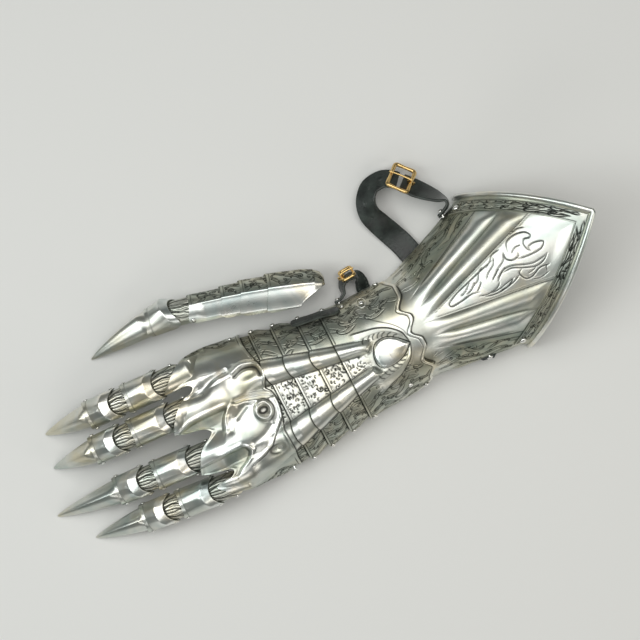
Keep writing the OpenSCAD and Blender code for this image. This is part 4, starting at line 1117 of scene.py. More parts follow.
def knuckle_extra(x, y, f, rear, front):
    h = np.zeros(np.shape(x))
    g = np.zeros(np.shape(x))
    near = lambda pts: line_dist(x, y, pts, 10)
    hi = lambda d, w: np.exp(-(d / w) ** 2)
    # hollow behind the slot between middle and ring finger: sharp ridge on the middle finger's side, steep lip at the
    # rear; painted shade in the hollow and a painted shadow line under the lip
    xr = np.interp(y, [141.5, 151, 163, 175.5, 186], [15.6, 16.2, 16.8, 16.4, 13.4])
    yl = np.interp(x, [-14, -6, -3.4, 0.1, 4.7, 9.3, 12.6, 15.6, 19], [158, 155, 154.0, 153.1, 151.3, 148.4, 145.3, 141.5, 138])
    wall, lip = sm(0, 2.6, xr - x), sm(-0.4, 2.6, y - yl)
    deep = wall * lip * sm(-12, 3, x) * (1 - 0.35 * sm(2, 15, xr - x))
    h -= 3.3 * deep
    h += 0.9 * hi(xr - x + 1.0, 1.6) * sm(141, 147, y) + 1.1 * hi(y - yl + 1.6, 1.7) * sm(-5, 0, x) * (1 - sm(13, 17, x))
    patina_and_painted_shade = 0.95 * deep
    d = near([[0.1, 153.4], [-2.6, 151.6], [-3.8, 148.1]])
    h -= 0.8 * hi(d, 2.6) * sm(146, 150, y)
    patina_and_painted_shade = np.maximum(patina_and_painted_shade, 0.6 * hi(d, 1.6))
    g = np.maximum(g, 0.55 * hi(y - yl - 1.6, 0.9) * sm(-3, 1, x) * (1 - sm(13, 16, x)))
    # hollow between ring and little finger, with a pointed rear end; painted shade in it and a painted shadow line
    # under its rear lip
    yl = np.interp(x, [-38, -34, -30, -27, -23.8, -20.5, -17.4], [160, 155, 148, 144.4, 142.3, 143.6, 147])
    deep = sm(0, 2.4, -17.4 - x) * sm(-0.4, 2.6, y - yl) * sm(-42, -31, x) * (1 - 0.45 * sm(158, 167, y))
    h -= 2.8 * deep
    patina_and_painted_shade = np.maximum(patina_and_painted_shade, 0.9 * deep)
    h += 0.9 * hi(-17.4 - x + 1.0, 1.5) * sm(145, 150, y) * (1 - sm(164, 172, y)) + 0.9 * hi(y - yl + 1.5, 1.6) * sm(-34, -29, x) * (1 - sm(-20, -16, x))
    g = np.maximum(g, 0.5 * hi(y - yl - 1.5, 0.8) * sm(-32, -28, x) * (1 - sm(-20, -17, x)))
    # soft valley behind the slot between index and middle finger
    d = near([[37.2, 163], [35.6, 156.5], [39.2, 145.5], [40.5, 132.5]])
    h -= 2.3 * hi(d, 1.9 + 2.6 * sm(138, 160, y))
    # crease between the two swellings, back to the notch in the rear edge, a bright crest beside it; a faint painted
    # shade line in the crease
    d = near([[16.1, 136.5], [14.6, 127.3], [11.6, 116.5], [7.6, 108.0]])
    h -= 1.9 * hi(d, 1.9)
    g = np.maximum(g, 0.25 * hi(d, 0.8))
    h += 1.2 * hi(near([[12.6, 135.5], [11.0, 127.6], [8.2, 117.6], [6.2, 113.5]]), 1.7)
    h -= 1.3 * hi(near([[4.2, 141.0], [6.4, 136.5], [9.4, 130.5]]), 2.6)
    h -= 1.0 * hi(near([[-19.6, 137.3], [-17.6, 127.5], [-13.1, 118.7]]), 2.3)
    # raised ring with an oval pit; painted shade in the pit and a painted shadow crescent on its rear side
    r = np.hypot((x + 0.4) / 1.16, (y - 119.2) / 1.04)
    ri = np.hypot((x + 0.2) / 3.3, (y - 119.6) / 4.6)
    h += 3.2 * hi(r - 5.5, 1.8) - 2.6 * (1 - sm(0.35, 1.25, ri))
    g = np.maximum(g, 0.85 * (1 - sm(0.78, 1.05, ri)) * (1 - 0.55 * (1 - sm(0.2, 0.6, ri))))
    g = np.maximum(g, 0.85 * hi(r - 7.9, 0.75) * sm(-1.5, 3.5, 119.6 - y))
    # crescent opening that runs along the hand, its lip raised on the thumb side; painted shade in the opening and on
    # the hollows and flanks round the middle field
    arch = [[33.6, 128.0], [35.9, 120.3], [34.8, 113.4], [31.6, 109.8], [26.4, 109.2]]
    d = near(arch)
    wd = 0.7 + 0.75 * (1 - sm(112, 126, y))
    h += 2.0 * hi(near([[36.6, 128.6], [39.0, 120.3], [37.2, 111.8], [33.2, 107.6]]), 1.9)
    h -= 1.7 * hi(d, wd + 0.4)
    g = np.maximum(g, hi(d, wd))
    h -= 1.3 * blob(x, y, 29.6, 117.0, 3.6, 7.5)
    patina_and_painted_shade = np.maximum(patina_and_painted_shade, 0.85 * blob(x, y, 29.6, 118.0, 5.5, 8.0))
    patina_and_painted_shade = np.maximum(patina_and_painted_shade, 0.70 * hi(near([[18.5, 141], [23, 133], [23, 124], [17, 115]]), 5.0))
    patina_and_painted_shade = np.maximum(patina_and_painted_shade, 0.65 * hi(near([[-10, 142], [-13, 133], [-9, 124]]), 4.5))
    patina_and_painted_shade = np.maximum(patina_and_painted_shade, 0.5 * hi(near([[5.0, 139], [9.2, 130.5]]), 2.4))
    # tear-shaped dent with a painted shade line round it
    r = np.hypot((x + 33.2) / 1.0, (y - 122.4) / (1.4 + 0.5 * (y > 122.4)))
    h -= 2.6 * hi(r, 3.2)
    g = np.maximum(g, 0.8 * hi(r - 3.6, 0.8) * sm(119, 125, y))
    # border of the raised middle field towards the little finger: the plate outside it lies lower; a painted shadow
    # line along the step and painted shade on the lower side
    xb = np.interp(y, [109.6, 120.5, 125, 134, 145, 152], [-12.2, -22.5, -28, -32.2, -34.8, -37])
    st = x - xb
    fd = 1 - sm(138, 150, y)
    h -= 2.2 * (1 - sm(-0.6, 0.9, st)) * fd
    h += 0.6 * hi(st - 1.8, 1.4) * fd
    g = np.maximum(g, 0.97 * hi(st + 0.8, 0.75) * fd)
    patina_and_painted_shade = np.maximum(patina_and_painted_shade, 0.6 * (1 - sm(-6, -0.5, st)) * (1 - sm(125, 150, y)))
    # shaded flanks
    patina_and_painted_shade = np.maximum(patina_and_painted_shade, 0.55 * hi(near([[50, 118], [55, 132], [57, 148], [52, 164]]), 6.0))
    patina_and_painted_shade = np.maximum(patina_and_painted_shade, 0.45 * hi(near([[24, 150], [25, 165], [19, 182]]), 4.5))
    patina_and_painted_shade = np.maximum(patina_and_painted_shade, 0.45 * hi(near([[-46, 128], [-48, 142], [-44, 160]]), 5.0))
    # hollows that catch the light behind the domes
    h -= 1.2 * blob(x, y, 46, 133, 8, 7) + 1.0 * blob(x, y, 25, 135, 7, 6)
    # engraved line behind the rear edge at the sides
    e = y - rear
    side = sm(50, 62, np.abs(f))
    line = 0.8 * np.exp(-((e - 2.4) / 0.4) ** 2) * side
    dd, gg = engrave(R_KN, hand_u(f), y, 0.36, 0.3)
    k = side * sm(3, 4.5, e)
    fade = sm(0.5, 5, front - y)
    # rounded lip on the rear edge
    lip = 0.6 * np.exp(-((e - 1.0) / 1.0) ** 2)
    return h * (0.40 + 0.60 * fade) + dd * k - 0.25 * line + lip, np.maximum(np.maximum(g, line), gg * k), np.maximum(patina_and_painted_shade, 0.7 * side)


def knuckle_relief():
    R = Relief(-95, 95, 105, 175)
    rng = np.random.RandomState(9)
    for s in (-1, 1):
        flame_field(R, [s * 60, s * 67, s * 74], 112, 165, lambda u, v: math.pi / 2 - s * 0.1, 17, 2.1, rng, s, 0.42)
    return R


R_KN = knuckle_relief()


def at_x(y, f):
    return srf(np.full(np.shape(f), float(y)), f, 0.0)[..., 0]


def knuckle_plate():
    pts = [[-90, 127], [-84, 130], [-78, 134]] + [[float(kx2f(c[0])), c[1]] for c in KC] + [[82, 134], [86, 130], [90, 127]]
    pts = np.array(pts, float)
    tips = [3 + KC.index(t) for t in ([-38, 179.5], [-24.5, 186], [12, 190.5], [42, 183])]
    segs, a = [], 0
    for t in tips + [len(pts) - 1]:
        segs.append(cr(pts[a:t + 1], 12)[:-1])
        a = t
    e = np.concatenate(segs + [[pts[-1]]])
    # equal steps along the edge
    s = np.concatenate([[0], np.cumsum(np.hypot(np.diff(e[:, 0]) * 0.95, np.diff(e[:, 1])))])
    q = np.unique(np.concatenate([np.arange(0, s[-1], 0.55), [s[np.argmin(np.hypot(e[:, 0] - pts[t][0], e[:, 1] - pts[t][1]))] for t in tips], [s[-1]]]))
    f, front = np.interp(q, s, e[:, 0]), np.interp(q, s, e[:, 1])
    f = np.maximum.accumulate(f + np.arange(len(f)) * 1e-6)
    f = np.clip(f, -90, 90)
    xk = at_x(108.0, f)
    rear = knuckle_rear(xk)
    rear = smooth1(rear, 2)
    M = Mesh()
    band_mesh(M, f, rear, front, [0, 0.12, 0.28, 0.45, 0.6, 0.72, 0.82, 0.91, 1], [0.7, 0.6, 0.5, 0.8, 1.2, 1.2, 1.0, 0.6, 0.3], 1.2, knuckle_extra, 210, r=0.35)
    M.out("knuckle_shell", M_BRIGHT, "knuckles", ("knuckle_plate",), "bright_steel", 55)


knuckle_plate()


# ---------------------------------------------------------------- fingers and thumb
def rot(axis, a):
    a = math.radians(a)
    c, s = math.cos(a), math.sin(a)
    if axis == "x":
        return np.array([[1, 0, 0], [0, c, -s], [0, s, c]])
    if axis == "y":
        return np.array([[c, 0, s], [0, 1, 0], [-s, 0, c]])
    return np.array([[c, -s, 0], [s, c, 0], [0, 0, 1]])


def chain(P, L, k):
    y = z = 0.0
    for i in range(k):
        y += L[i] * math.cos(math.radians(P[i]))
        z -= L[i] * math.sin(math.radians(P[i]))
    return np.array([0, y, z])


def link_f(c, k):
    _, o, hd, P, L = c
    R = rot("z", -hd)
    return np.array(o) + R @ chain(P, L, k), R @ rot("x", -P[k])


TO, TH, TP, TL, TA, LEAN = [67, 46, 20.5], 19.5, -3.0, [31, 21, 15, 26, 13.5, 21, 58], [0, 2, 4, 6, 10, 16, 27], 48
TR = [17.6, 15.8, 14.1, 12.5, 10.9, 12.6, 10.9]
FR, FAN = 11.8, 10.1


def link_t(k):
    R = rot("z", -TH) @ rot("x", -TP) @ rot("y", LEAN)
    return np.array(TO) + R @ chain(TA, TL, k), R @ rot("x", -TA[k])


def placed(lk, p):
    o, R = lk
    return np.asarray(p) @ R.T + o


ANG = np.concatenate([np.linspace(-90, -40, 14), np.linspace(-38, 38, 39), np.linspace(40, 90, 14)])
LEGN = 5


def sections(y, r, b, top, bow, shape=None, ang=ANG):
    """grid of U sections: arrays along the length; shape(A, i) adds to the radius"""
    n = len(y)
    A = np.radians(ang)[None, :]
    q = r[:, None] + top[:, None] * np.cos(A) ** 4
    if shape is not None:
        q = q + shape
    y2 = np.asarray(y, float)
    y2 = y2 if y2.ndim == 2 else y2[:, None] + 0 * A
    X = q * np.sin(A)
    Y = y2 + bow[:, None] * np.sin(A) ** 4
    Z = q * np.cos(A)
    core = np.stack([X, Y, Z], -1)
    t = np.linspace(1, 0, LEGN, endpoint=False)[None, :]
    left = np.stack([-(q[:, :1]) + 0 * t, y2[:, :1] + bow[:, None] * (1 - t), -b[:, None] * t], -1)
    right = np.stack([(q[:, -1:]) + 0 * t, y2[:, -1:] + bow[:, None] * (1 - t[:, ::-1]), -b[:, None] * t[:, ::-1]], -1)
    return np.concatenate([left, core, right], 1)


def pad_legs(a):
    a = np.asarray(a, float)
    return np.concatenate([np.repeat(a[:, :1], LEGN, 1), a, np.repeat(a[:, -1:], LEGN, 1)], 1)


FACET = (np.array([0, 22, 50, 74, 90.0]), np.array([1.0, 1.16, 0.72, 0.16, 0.0]))


def outer_plate(lk, l, r, t=1.2, rf=0.0, crest=3.3, cut=3.4):
    """tube plate between two pivots: hollow-cut rear edge, faceted crest over its rear third, long fall to the front"""
    st = np.array([[-1, 0, 2.7, 0, -2.6], [0.6, 0, 3.6, 0, -1.4], [3.6, 0, 4, 0, 0], [7.5, 0, 3.6, 0, 0], [l - 3.6, -rf, 3.8, 0, 0], [l - 0.4, -rf, 3.4, 0, 1.4], [l + 1, -rf, 2.7, 0, 2.6]])
    y = np.linspace(-1, l + 1, int(l / 0.42))
    f = lambda k: np.interp(y, st[:, 0], st[:, k])
    A = np.radians(ANG)[None, :]
    Y = y[:, None] + cut * np.cos(A) ** 2 * (1 - (y[:, None] + 1) / (l + 2)) ** 1.5
    rear = -1 + cut * np.cos(A) ** 2
    yc = rear + 3.9 + 2.6 * np.cos(A) ** 2
    end = l - 1.5
    face = np.interp(np.abs(ANG), *FACET)[None, :]
    rise = np.clip((Y - rear) / (yc - rear), 0, 1)
    fall = np.clip((Y - yc) / (end - yc), 0, 1)
    prof = np.where(Y < yc, rise, (1 - fall) ** 1.15) * crest * face
    ridge = 0.35 * np.exp(-(np.degrees(A) / 7.0) ** 2) * sm(0, 4, Y - yc) * (1 - 0.6 * sm(l - 6, l, Y))
    sh = prof + ridge
    line = np.exp(-((Y - (l - 1.9)) / 0.38) ** 2)
    g = 0.45 * line
    sh = sh - 0.15 * line
    # painted shade past the crest, stronger towards the sides
    patina_and_painted_shade = 0.42 * sm(0, 6, Y - yc) * (0.55 + 0.45 * sm(20, 60, np.abs(ANG))[None, :]) + 0 * sh
    o = sections(Y, r + f(1), f(2), 0 * y, f(4), sh)
    i = sections(Y, r + f(1) - t, f(2), 0 * y, f(4), prof * 0.7)
    M = Mesh()
    M.shell(placed(lk, o), placed(lk, i), pad_legs(g), 0.3, pad_legs(patina_and_painted_shade), 0.8)
    return M


def fan_relief_piece(seed):
    """long curved leaves that open towards the rear; u across, v from the front end back"""
    R = Relief(-20, 20, -2, 40, 0.16)
    for k in range(-2, 3):
        b, tp = np.array([k * 2.4, 0.6]), np.array([k * 6.6, 25.2 - 0.8 * k * k])
        hand = 1 if k >= 0 else -1
        t = np.linspace(0, 1, 36)[:, None]
        mid = b * (1 - t) + tp * t + np.array([[hand * 1.0, 0]]) * np.sin(t * math.pi) - np.array([[hand * 1.2, 0]]) * np.sin(np.clip(t * 2 - 1, 0, 1) * math.pi)
        w = (0.35 + 2.6 * np.sin(np.clip(t[:, 0] * 1.04, 0, 1) * math.pi) ** 0.8 * (0.3 + 0.7 * t[:, 0]))[:, None]
        one = np.array([[1.0, 0.0]])
        R.line(mid + one * w, 0.44, 1.0, (0.1, 0.12))
        R.line(mid - one * w, 0.40, 1.0, (0.1, 0.12))
        R.line(mid[12:28] + one * hand * w[12:28] * 0.2, 0.28, 0.7, (0.2, 0.2))
        R.line(np.array([tp + [-1.3, -2.0], tp + [0.1, 0.8], tp + [1.5, -1.8]]), 0.5, 1.0, (0.1, 0.1))
        R.bump(mid[8:30:2], 1.5, 0.8)
    for k in range(-2, 2):
        R.line(walk([k * 6.6 + 3.3, 21.5], -math.pi / 2 + 0.1 * k, 7, lambda u: 0.5 * np.sin(4 * u), 12), 0.4, 0.9, (0.2, 0.3))
    return R


R_FANP = fan_relief_piece(0)


def fan_piece(lk, l, r, t=1.1, swing=42, b=3.0):
    """engraved fan plate with a dome at both pivots"""
    qa = np.linspace(90 - swing, 90, 40)
    A = np.radians(ANG)
    rows_o, rows_i, V = [], [], []

    def leg(q):
        return np.interp(q, [48, 66, 90], [0.2, 0.45 * b, b])

    for q in qa:
        rows_o.append((-r * math.cos(math.radians(q)), r * math.sin(math.radians(q)), leg(q)))
        rows_i.append((-(r - t) * math.cos(math.radians(q)), (r - t) * math.sin(math.radians(q)), leg(q)))
    mid = np.linspace(0, l, 26)[1:-1]
    for y in mid:
        rows_o.append((y, r, b))
        rows_i.append((y, r - t, b))
    for q in qa[::-1]:
        rows_o.append((l + r * math.cos(math.radians(q)), r * math.sin(math.radians(q)), leg(q)))
        rows_i.append((l + (r - t) * math.cos(math.radians(q)), (r - t) * math.sin(math.radians(q)), leg(q)))
    ro, ri = np.array(rows_o), np.array(rows_i)
    # arc length along the top from the middle of the plate
    ln = np.concatenate([[0], np.cumsum(np.hypot(np.diff(ro[:, 0]), np.diff(ro[:, 1])))])
    U = (ANG / 90.0 * r * 1.45)[None, :] + 0 * ln[:, None]
    half = ln[-1] / 2
    v = np.abs(ln - half)
    d, g = engrave(R_FANP, U, np.broadcast_to(((ln[-1] - ln) * 27.0 / ln[-1])[:, None], U.shape), 0.40, 0.35)
    edge = np.exp(-((v[:, None] - half + 1.4) / 0.4) ** 2) * 0.9 + 0 * U
    g = np.maximum(g * (v[:, None] < half - 1.8), edge)
    d = d * (v[:, None] < half - 1.8) - 0.2 * edge
    z = np.zeros(len(ro))
    o = sections(ro[:, 0], ro[:, 1], ro[:, 2], z, z, d)
    i = sections(ri[:, 0], ri[:, 1], ri[:, 2], z, z)
    M = Mesh()
    M.shell(placed(lk, o), placed(lk, i), pad_legs(g), 0.25, 0.16)
    return M


def claw_piece(lk, l, r, t=1.1, hook=4.0, engr=False):
    qa = np.linspace(52, 90, 14)
    rows = [(-r * math.cos(math.radians(q)), r * math.sin(math.radians(q)), float(np.interp(q, [52, 66, 90], [0.2, 0.45 * 2.6, 2.6])), 0.0) for q in qa]
    us = np.linspace(0.02, 1, 90)
    for u in us:
        w = 0.5 + (r - 0.5) * max(0, 1 - u) ** 0.72 * (1 + 0.05 * math.sin(math.radians(u * 180))) if u < 1 else 0.55
        w = r + (w - r) * float(sm(0, 0.1, u)) if u < 0.1 else w
        lg = (3.4 if u < 0.3 else 3.4 * (1 - u) / 0.7) + 0.1
        lg = 2.6 + (lg - 2.6) * min(1, u / 0.1)
        rows.append((l * u, w, lg, u))
    a = np.array(rows)
    y, w, b, u = a.T
    A = np.radians(ANG)[None, :]
    k = sm(0.0, 0.12, u)[:, None]
    # two flanks that meet in a ridge
    ridge = w[:, None] * k * (0.20 * (1 - np.abs(np.sin(A))) ** 1.6 - 0.06 * np.exp(-((np.abs(np.degrees(A)) - 40) / 20.0) ** 2))
    drop = 4.0 * u * u
    g = np.zeros(ridge.shape)
    patina_and_painted_shade = 0.20 + 0.25 * u[:, None] + 0 * ridge
    o = sections(y, w, b, 0 * y, 0 * y, ridge)
    wi = np.maximum(w - t, 0.25)
    yi = np.where(u > 0.9, y - 1.6 * (u - 0.9) * 10, y)
    i = sections(yi, wi, np.minimum(b, wi + 2.4), 0 * y, 0 * y, 0.6 * ridge * (wi / np.maximum(w, 0.1))[:, None])
    o[..., 2] -= drop[:, None]
    i[..., 2] -= drop[:, None]
    M = Mesh()
    M.shell(placed(lk, o), placed(lk, i), pad_legs(g), 0.2, pad_legs(patina_and_painted_shade))
    return M


def link_rivets(lk, ys, r, ln=3.4, hr=2.2):
    M = Mesh()
    o, R = lk
    for y in ys:
        for s in (-1, 1):
            M.revolve(rivet_profile(hr, ln, 1.2, 0.42), placed(lk, [s * (r + 0.02), y, 0]), R @ np.array([s, 0, 0]))
    return M


for c in FINGERS:
    n, L = c[0], c[4]
    fan_piece(link_f(c, 0), L[0], FAN).out(n + "_knuckle_fan", M_FAN, n + "_fan", (n + "_knuckle_lame",), "steel", 50)
    outer_plate(link_f(c, 1), L[1], FR).out(n + "_first_plate", M_BRIGHT, n + "_proximal", (n + "_proximal_plate",), "bright_steel", 40)
    link_rivets(link_f(c, 1), (0, L[1]), FR).out(n + "_first_rivets", M_RIVET, n + "_proximal", (n + "_proximal_rivets",), "bright_steel", 40)
    fan_piece(link_f(c, 2), L[2], FAN).out(n + "_middle_fan", M_FAN, n + "_fan_2", (n + "_middle_lame",), "steel", 50)
    outer_plate(link_f(c, 3), L[3], FR, rf=0.2).out(n + "_second_plate", M_BRIGHT, n + "_middle", (n + "_middle_plate",), "bright_steel", 40)
    link_rivets(link_f(c, 3), (0, L[3]), FR).out(n + "_second_rivets", M_RIVET, n + "_middle", (n + "_middle_rivets",), "bright_steel", 40)
    claw_piece(link_f(c, 4), L[4], FAN).out(n + "_claw_shell", M_BRIGHT, n + "_claw", (n + "_claw",), "bright_steel", 40)

# rivets of the knuckle plate
M = Mesh()
for s in (-1, 1):
    side_rivet(M, 119, 17, s, 0.72, 6.4)
for c in FINGERS:
    lk = link_f(c, 0)
    for s in (-1, 1):
        M.revolve(rivet_profile(1.7, 2.8), placed(lk, [s * (FAN + 0.12), 0, 0]), lk[1] @ np.array([s, 0, 0]))
M.out("knuckle_rivet_heads", M_RIVET, "knuckles", ("knuckle_rivets",), "bright_steel", 40)


def thumb_relief(seed, L):
    R = Relief(-30, 30, -18, L + 6, 0.2)
    rng = np.random.RandomState(seed)
    flame_field(R, [-3.0, 3.5, 10.0, 16.5, 22.0], -15, L + 7, lambda u, v: math.pi / 2, 15, 1.9, rng, 1, 0.4)
    for k in range(int((L + 14) / 9)):
        scroll(R, [1.5 + 6 * (k % 2), -9 + 9 * k], rng.rand() * 6.28, 3.4, 1 if k % 2 else -1, 1.7, 0.42)
    return R


def thumb_section(y, r, b, bow, L, seed, fade=1.0):
    """folded section: the outer facet is engraved, the inner facet is bright and nearly flat"""
    A = ANG[None, :]
    a = np.radians(A)
    f1 = math.cos(math.radians(30.5)) / np.cos(np.clip(a + math.radians(59.5), -math.radians(30.5), math.radians(30.5))) - 1
    f2 = math.cos(math.radians(37)) / np.cos(np.clip(a - math.radians(8), -math.radians(37), math.radians(37))) - 1
    flat = np.where(A < -29, 0.62 * f1, np.where(A < 45, 0.34 * f2, 0.0))
    fd = np.broadcast_to(np.asarray(fade, float).reshape(-1, 1), (len(y), 1))
    fold = r[:, None] * fd * (flat + 0.02 * np.exp(-((A + 29) / 5.0) ** 2))
    R = thumb_relief(seed, L)
    U = (A / 90.0 * 25) + 0 * y[:, None]
    d, g = engrave(R, U, np.broadcast_to(y[:, None], U.shape), 0.38, 0.3)
    k = sm(-26, -22, A) * (1 - sm(82, 88, A)) * (1 - sm(L - 2.6, L - 1.8, y[:, None]))
    edge = 0.8 * np.exp(-((y[:, None] - (L - 1.2)) / 0.4) ** 2) * sm(-28, -24, A)
    # painted shade line along the fold between the facets
    crease = 0.6 * np.exp(-((A + 25.5) / 1.6) ** 2)
    patina_and_painted_shade = 0.8 * sm(-27, -24, A) + 0 * y[:, None]
    return fold + d * k - 0.2 * edge, np.maximum(np.maximum(g * k, edge), crease), fold, patina_and_painted_shade


def thumb_base():
    l, r = TL[0], 17.6
    st = np.array([[-13, 9.5, 0.3, 0], [-11, 13.5, 0.6, 0], [-5, 16.4, 0.8, 0], [4, r, 1, 0], [l - 5, r, 2.6, 0], [l - 0.4, r, 3, 1.4], [l + 1, r, 2.6, 2.6]])
    y = np.concatenate([np.linspace(-13, -5, 24, endpoint=False), np.arange(-5, l + 1, 0.5), [l + 1]])
    f = lambda k: np.interp(y, st[:, 0], st[:, k])
    rr = f(1)
    w = np.hanning(7)[1:-1]
    rr = np.convolve(np.pad(rr, 2, mode="edge"), w / w.sum(), mode="valid")
    sh, g, fold, patina_and_painted_shade = thumb_section(y, rr, f(2), f(3), l, 31)
    lk = link_t(0)
    M = Mesh()
    slant = sm(-92, -26, -np.abs(np.minimum(ANG, -26)) * 1.0)
    back = (21 * (1 - slant))[None, :] * (1 - (y[:, None] + 13) / (l + 14)) ** 1.2
    Y = y[:, None] + back
    rs = np.interp(Y, y, rr) - rr[:, None]
    M.shell(placed(lk, sections(Y, rr, f(2), 0 * y, f(3), sh + rs)), placed(lk, sections(Y, rr - 1.2, f(2), 0 * y, f(3), fold + rs)), pad_legs(g), 0.3, pad_legs(patina_and_painted_shade), 0.8)
    M.out("thumb_base_shell", M_BRIGHT, "thumb_base", ("thumb_base_plate",), "bright_steel", 40)


def thumb_scale(k, body, node, seed):
    l, r = TL[k], TR[k]
    qa = np.linspace(66, 90, 10)
    rows = [(-r * math.cos(math.radians(q)), r * math.sin(math.radians(q)), float(np.interp(q, [66, 67, 90], [0.45 * 3, 0.5 * 3, 3])), 0.0) for q in qa]
    y2 = np.unique(np.concatenate([np.arange(0.4, l + 1, 0.5), [l + 1]]))
    b2 = np.interp(y2, [0, l - 3.6, l - 0.4, l + 1], [3, 3.6, 3.2, 2.6])
    w2 = np.interp(y2, [0, l - 3.6, l - 0.4, l + 1], [0, 0, 1.4, 2.6])
    a = np.array(rows + [(yy, r, bb, ww) for yy, bb, ww in zip(y2, b2, w2)])
    y, rr, b, bow = a.T
    sh, g, fold, patina_and_painted_shade = thumb_section(y, rr, b, bow, l, seed, (1 - 0.85 * sm(l - 11, l - 4, y)) if k == 3 else 1.0)
    lk = link_t(k)
    o = sections(y, rr, b, 0 * y, bow, sh)
    i = sections(np.where(y < 0, y * (r - 1.1) / r, y), rr * (r - 1.1) / r, b, 0 * y, bow, fold)
    M = Mesh()
    M.shell(placed(lk, o), placed(lk, i), pad_legs(g), 0.3, pad_legs(patina_and_painted_shade), 0.8)
    M.out(node + "_shell", M_BRIGHT, body, (node,), "bright_steel", 40)


thumb_base()
thumb_scale(1, "thumb_scale_1", "thumb_lame_1", 32)
thumb_scale(2, "thumb_scale_2", "thumb_lame_2", 33)
thumb_scale(3, "thumb_middle", "thumb_middle_plate", 34)
link_rivets(link_t(3), (TL[3],), TR[3]).out("thumb_rivet_heads", M_RIVET, "thumb_middle", ("thumb_rivets",), "bright_steel", 40)
fan_piece(link_t(4), TL[4], TR[4], swing=36).out("thumb_fan_shell", M_FAN, "thumb_fan", ("thumb_fan_lame",), "steel", 50)
outer_plate(link_t(5), TL[5], TR[5], rf=0.1).out("thumb_tip_shell", M_BRIGHT, "thumb_tip", ("thumb_tip_plate",), "bright_steel", 40)
claw_piece(link_t(6), TL[6], TR[6]).out("thumb_claw_shell", M_BRIGHT, "thumb_claw", ("thumb_claw",), "bright_steel", 40)


# ---------------------------------------------------------------- straps and buckles
LONG = [[112.2, -56, 13.7, -48], [116.6, -50.8, 13.7, -48], [119.15, -43.8, 13.7, -48], [117.6, -33.6, 13.5, -49], [109.4, -26.2, 13, -52], [99, -24.4, 11, -60], [88, -28, 7, -72],
        [76, -33, 3.4, -84], [62, -38, 2.4, -90], [30, -45, 2.2, -90], [0, -50, 2.2, -90], [-20, -54, 2.6, -90], [-29.5, -56, 4.4, -90], [-35.6, -57.2, 10, -90], [-37.2, -57.5, 18, -90], [-37, -57.6, 27, -90]]
SHORT = [[72.1, -71.5, 15, -3], [74.7, -77.6, 15, -3], [77.6, -82.2, 15, -4], [82, -82.6, 15, -8], [87.6, -77.4, 14.8, -28], [98.7, -67.3, 13.8, -47.8], [104.1, -62.8, 13.7, -48], [109.9, -57.9, 13.7, -48]]
WSTRAP = [[48.9, 32, 9.5, 3], [49.8, 26.5, 9.5, 4], [52.6, 22.6, 9.6, 10], [57.6, 21.4, 10, 18], [61.2, 18.4, 10.6, 27], [62.1, 12.5, 10.8, 28], [60.8, 6.8, 10.2, 34],
          [55, 5.8, 7.2, 58], [47.5, 6.8, 3.4, 84], [36, 7, 2, 90], [20, 7, 2, 90]]


def ribbon(M, pts, w, t, holes=(), stitch=True):
    p = cr(pts, 14)
    s = np.concatenate([[0], np.cumsum(np.linalg.norm(np.diff(p[:, :3], axis=0), axis=1))])
    q = np.arange(0, s[-1], 0.7)
    p = np.stack([np.interp(q, s, p[:, k]) for k in range(4)], -1)
    c = p[:, :3]
    d = np.gradient(c, axis=0)
    d /= np.linalg.norm(d, axis=1)[:, None]
    l = np.radians(p[:, 3])
    h = np.hypot(d[:, 0], d[:, 1])[:, None]
    wv = np.stack([d[:, 1] / h[:, 0] * np.sin(l), -d[:, 0] / h[:, 0] * np.sin(l), np.cos(l)], -1)
    wv -= d * (wv * d).sum(1)[:, None]
    wv /= np.linalg.norm(wv, axis=1)[:, None]
    nv = np.cross(wv, d)
    # section: crowned faces, rounded edges; both faces carry a stitch line
    hw = w / 2
    xs_ = np.concatenate([np.linspace(-hw, hw, 30)])
    edge = np.clip((hw - np.abs(xs_)) / 0.9, 0, 1)
    th = (t / 2) * (0.35 + 0.65 * np.sqrt(1 - (1 - edge) ** 2))
    n = len(c)
    g = np.zeros((n, len(xs_)))
    dz = np.zeros((n, len(xs_)))
    if stitch:
        dash = (np.sin(q / 3.2 * 2 * math.pi) > -0.35).astype(float)[:, None]
        band = np.exp(-((np.abs(xs_)[None, :] - (hw - 2.3)) / 0.45) ** 2)
        dz += -0.22 * band + 0.30 * band * dash
        g += 0.85 * band * dash
    g += 0.45 * (1 - edge)[None, :] ** 2
    for hq in holes:
        r = np.hypot((q - hq)[:, None], xs_[None, :])
        dz -= 0.8 * np.exp(-(r / 1.0) ** 2)
        g = np.maximum(g, 0.6 * np.exp(-((r - 1.5) / 0.4) ** 2))
    fa = c[:, None] + wv[:, None] * xs_[None, :, None] + nv[:, None] * (th[None] + dz)[..., None]
    fb = c[:, None] + wv[:, None] * xs_[None, :, None] - nv[:, None] * (th[None] + dz)[..., None]
    M.shell(fa, fb, np.clip(g, 0, 1), 0.3)


def strap(name, pts, w, t, holes, reps, body):
    M = Mesh()
    ribbon(M, pts, w, t, holes)
    M.out(name, M_LEATHER, body, reps, "leather", 60)


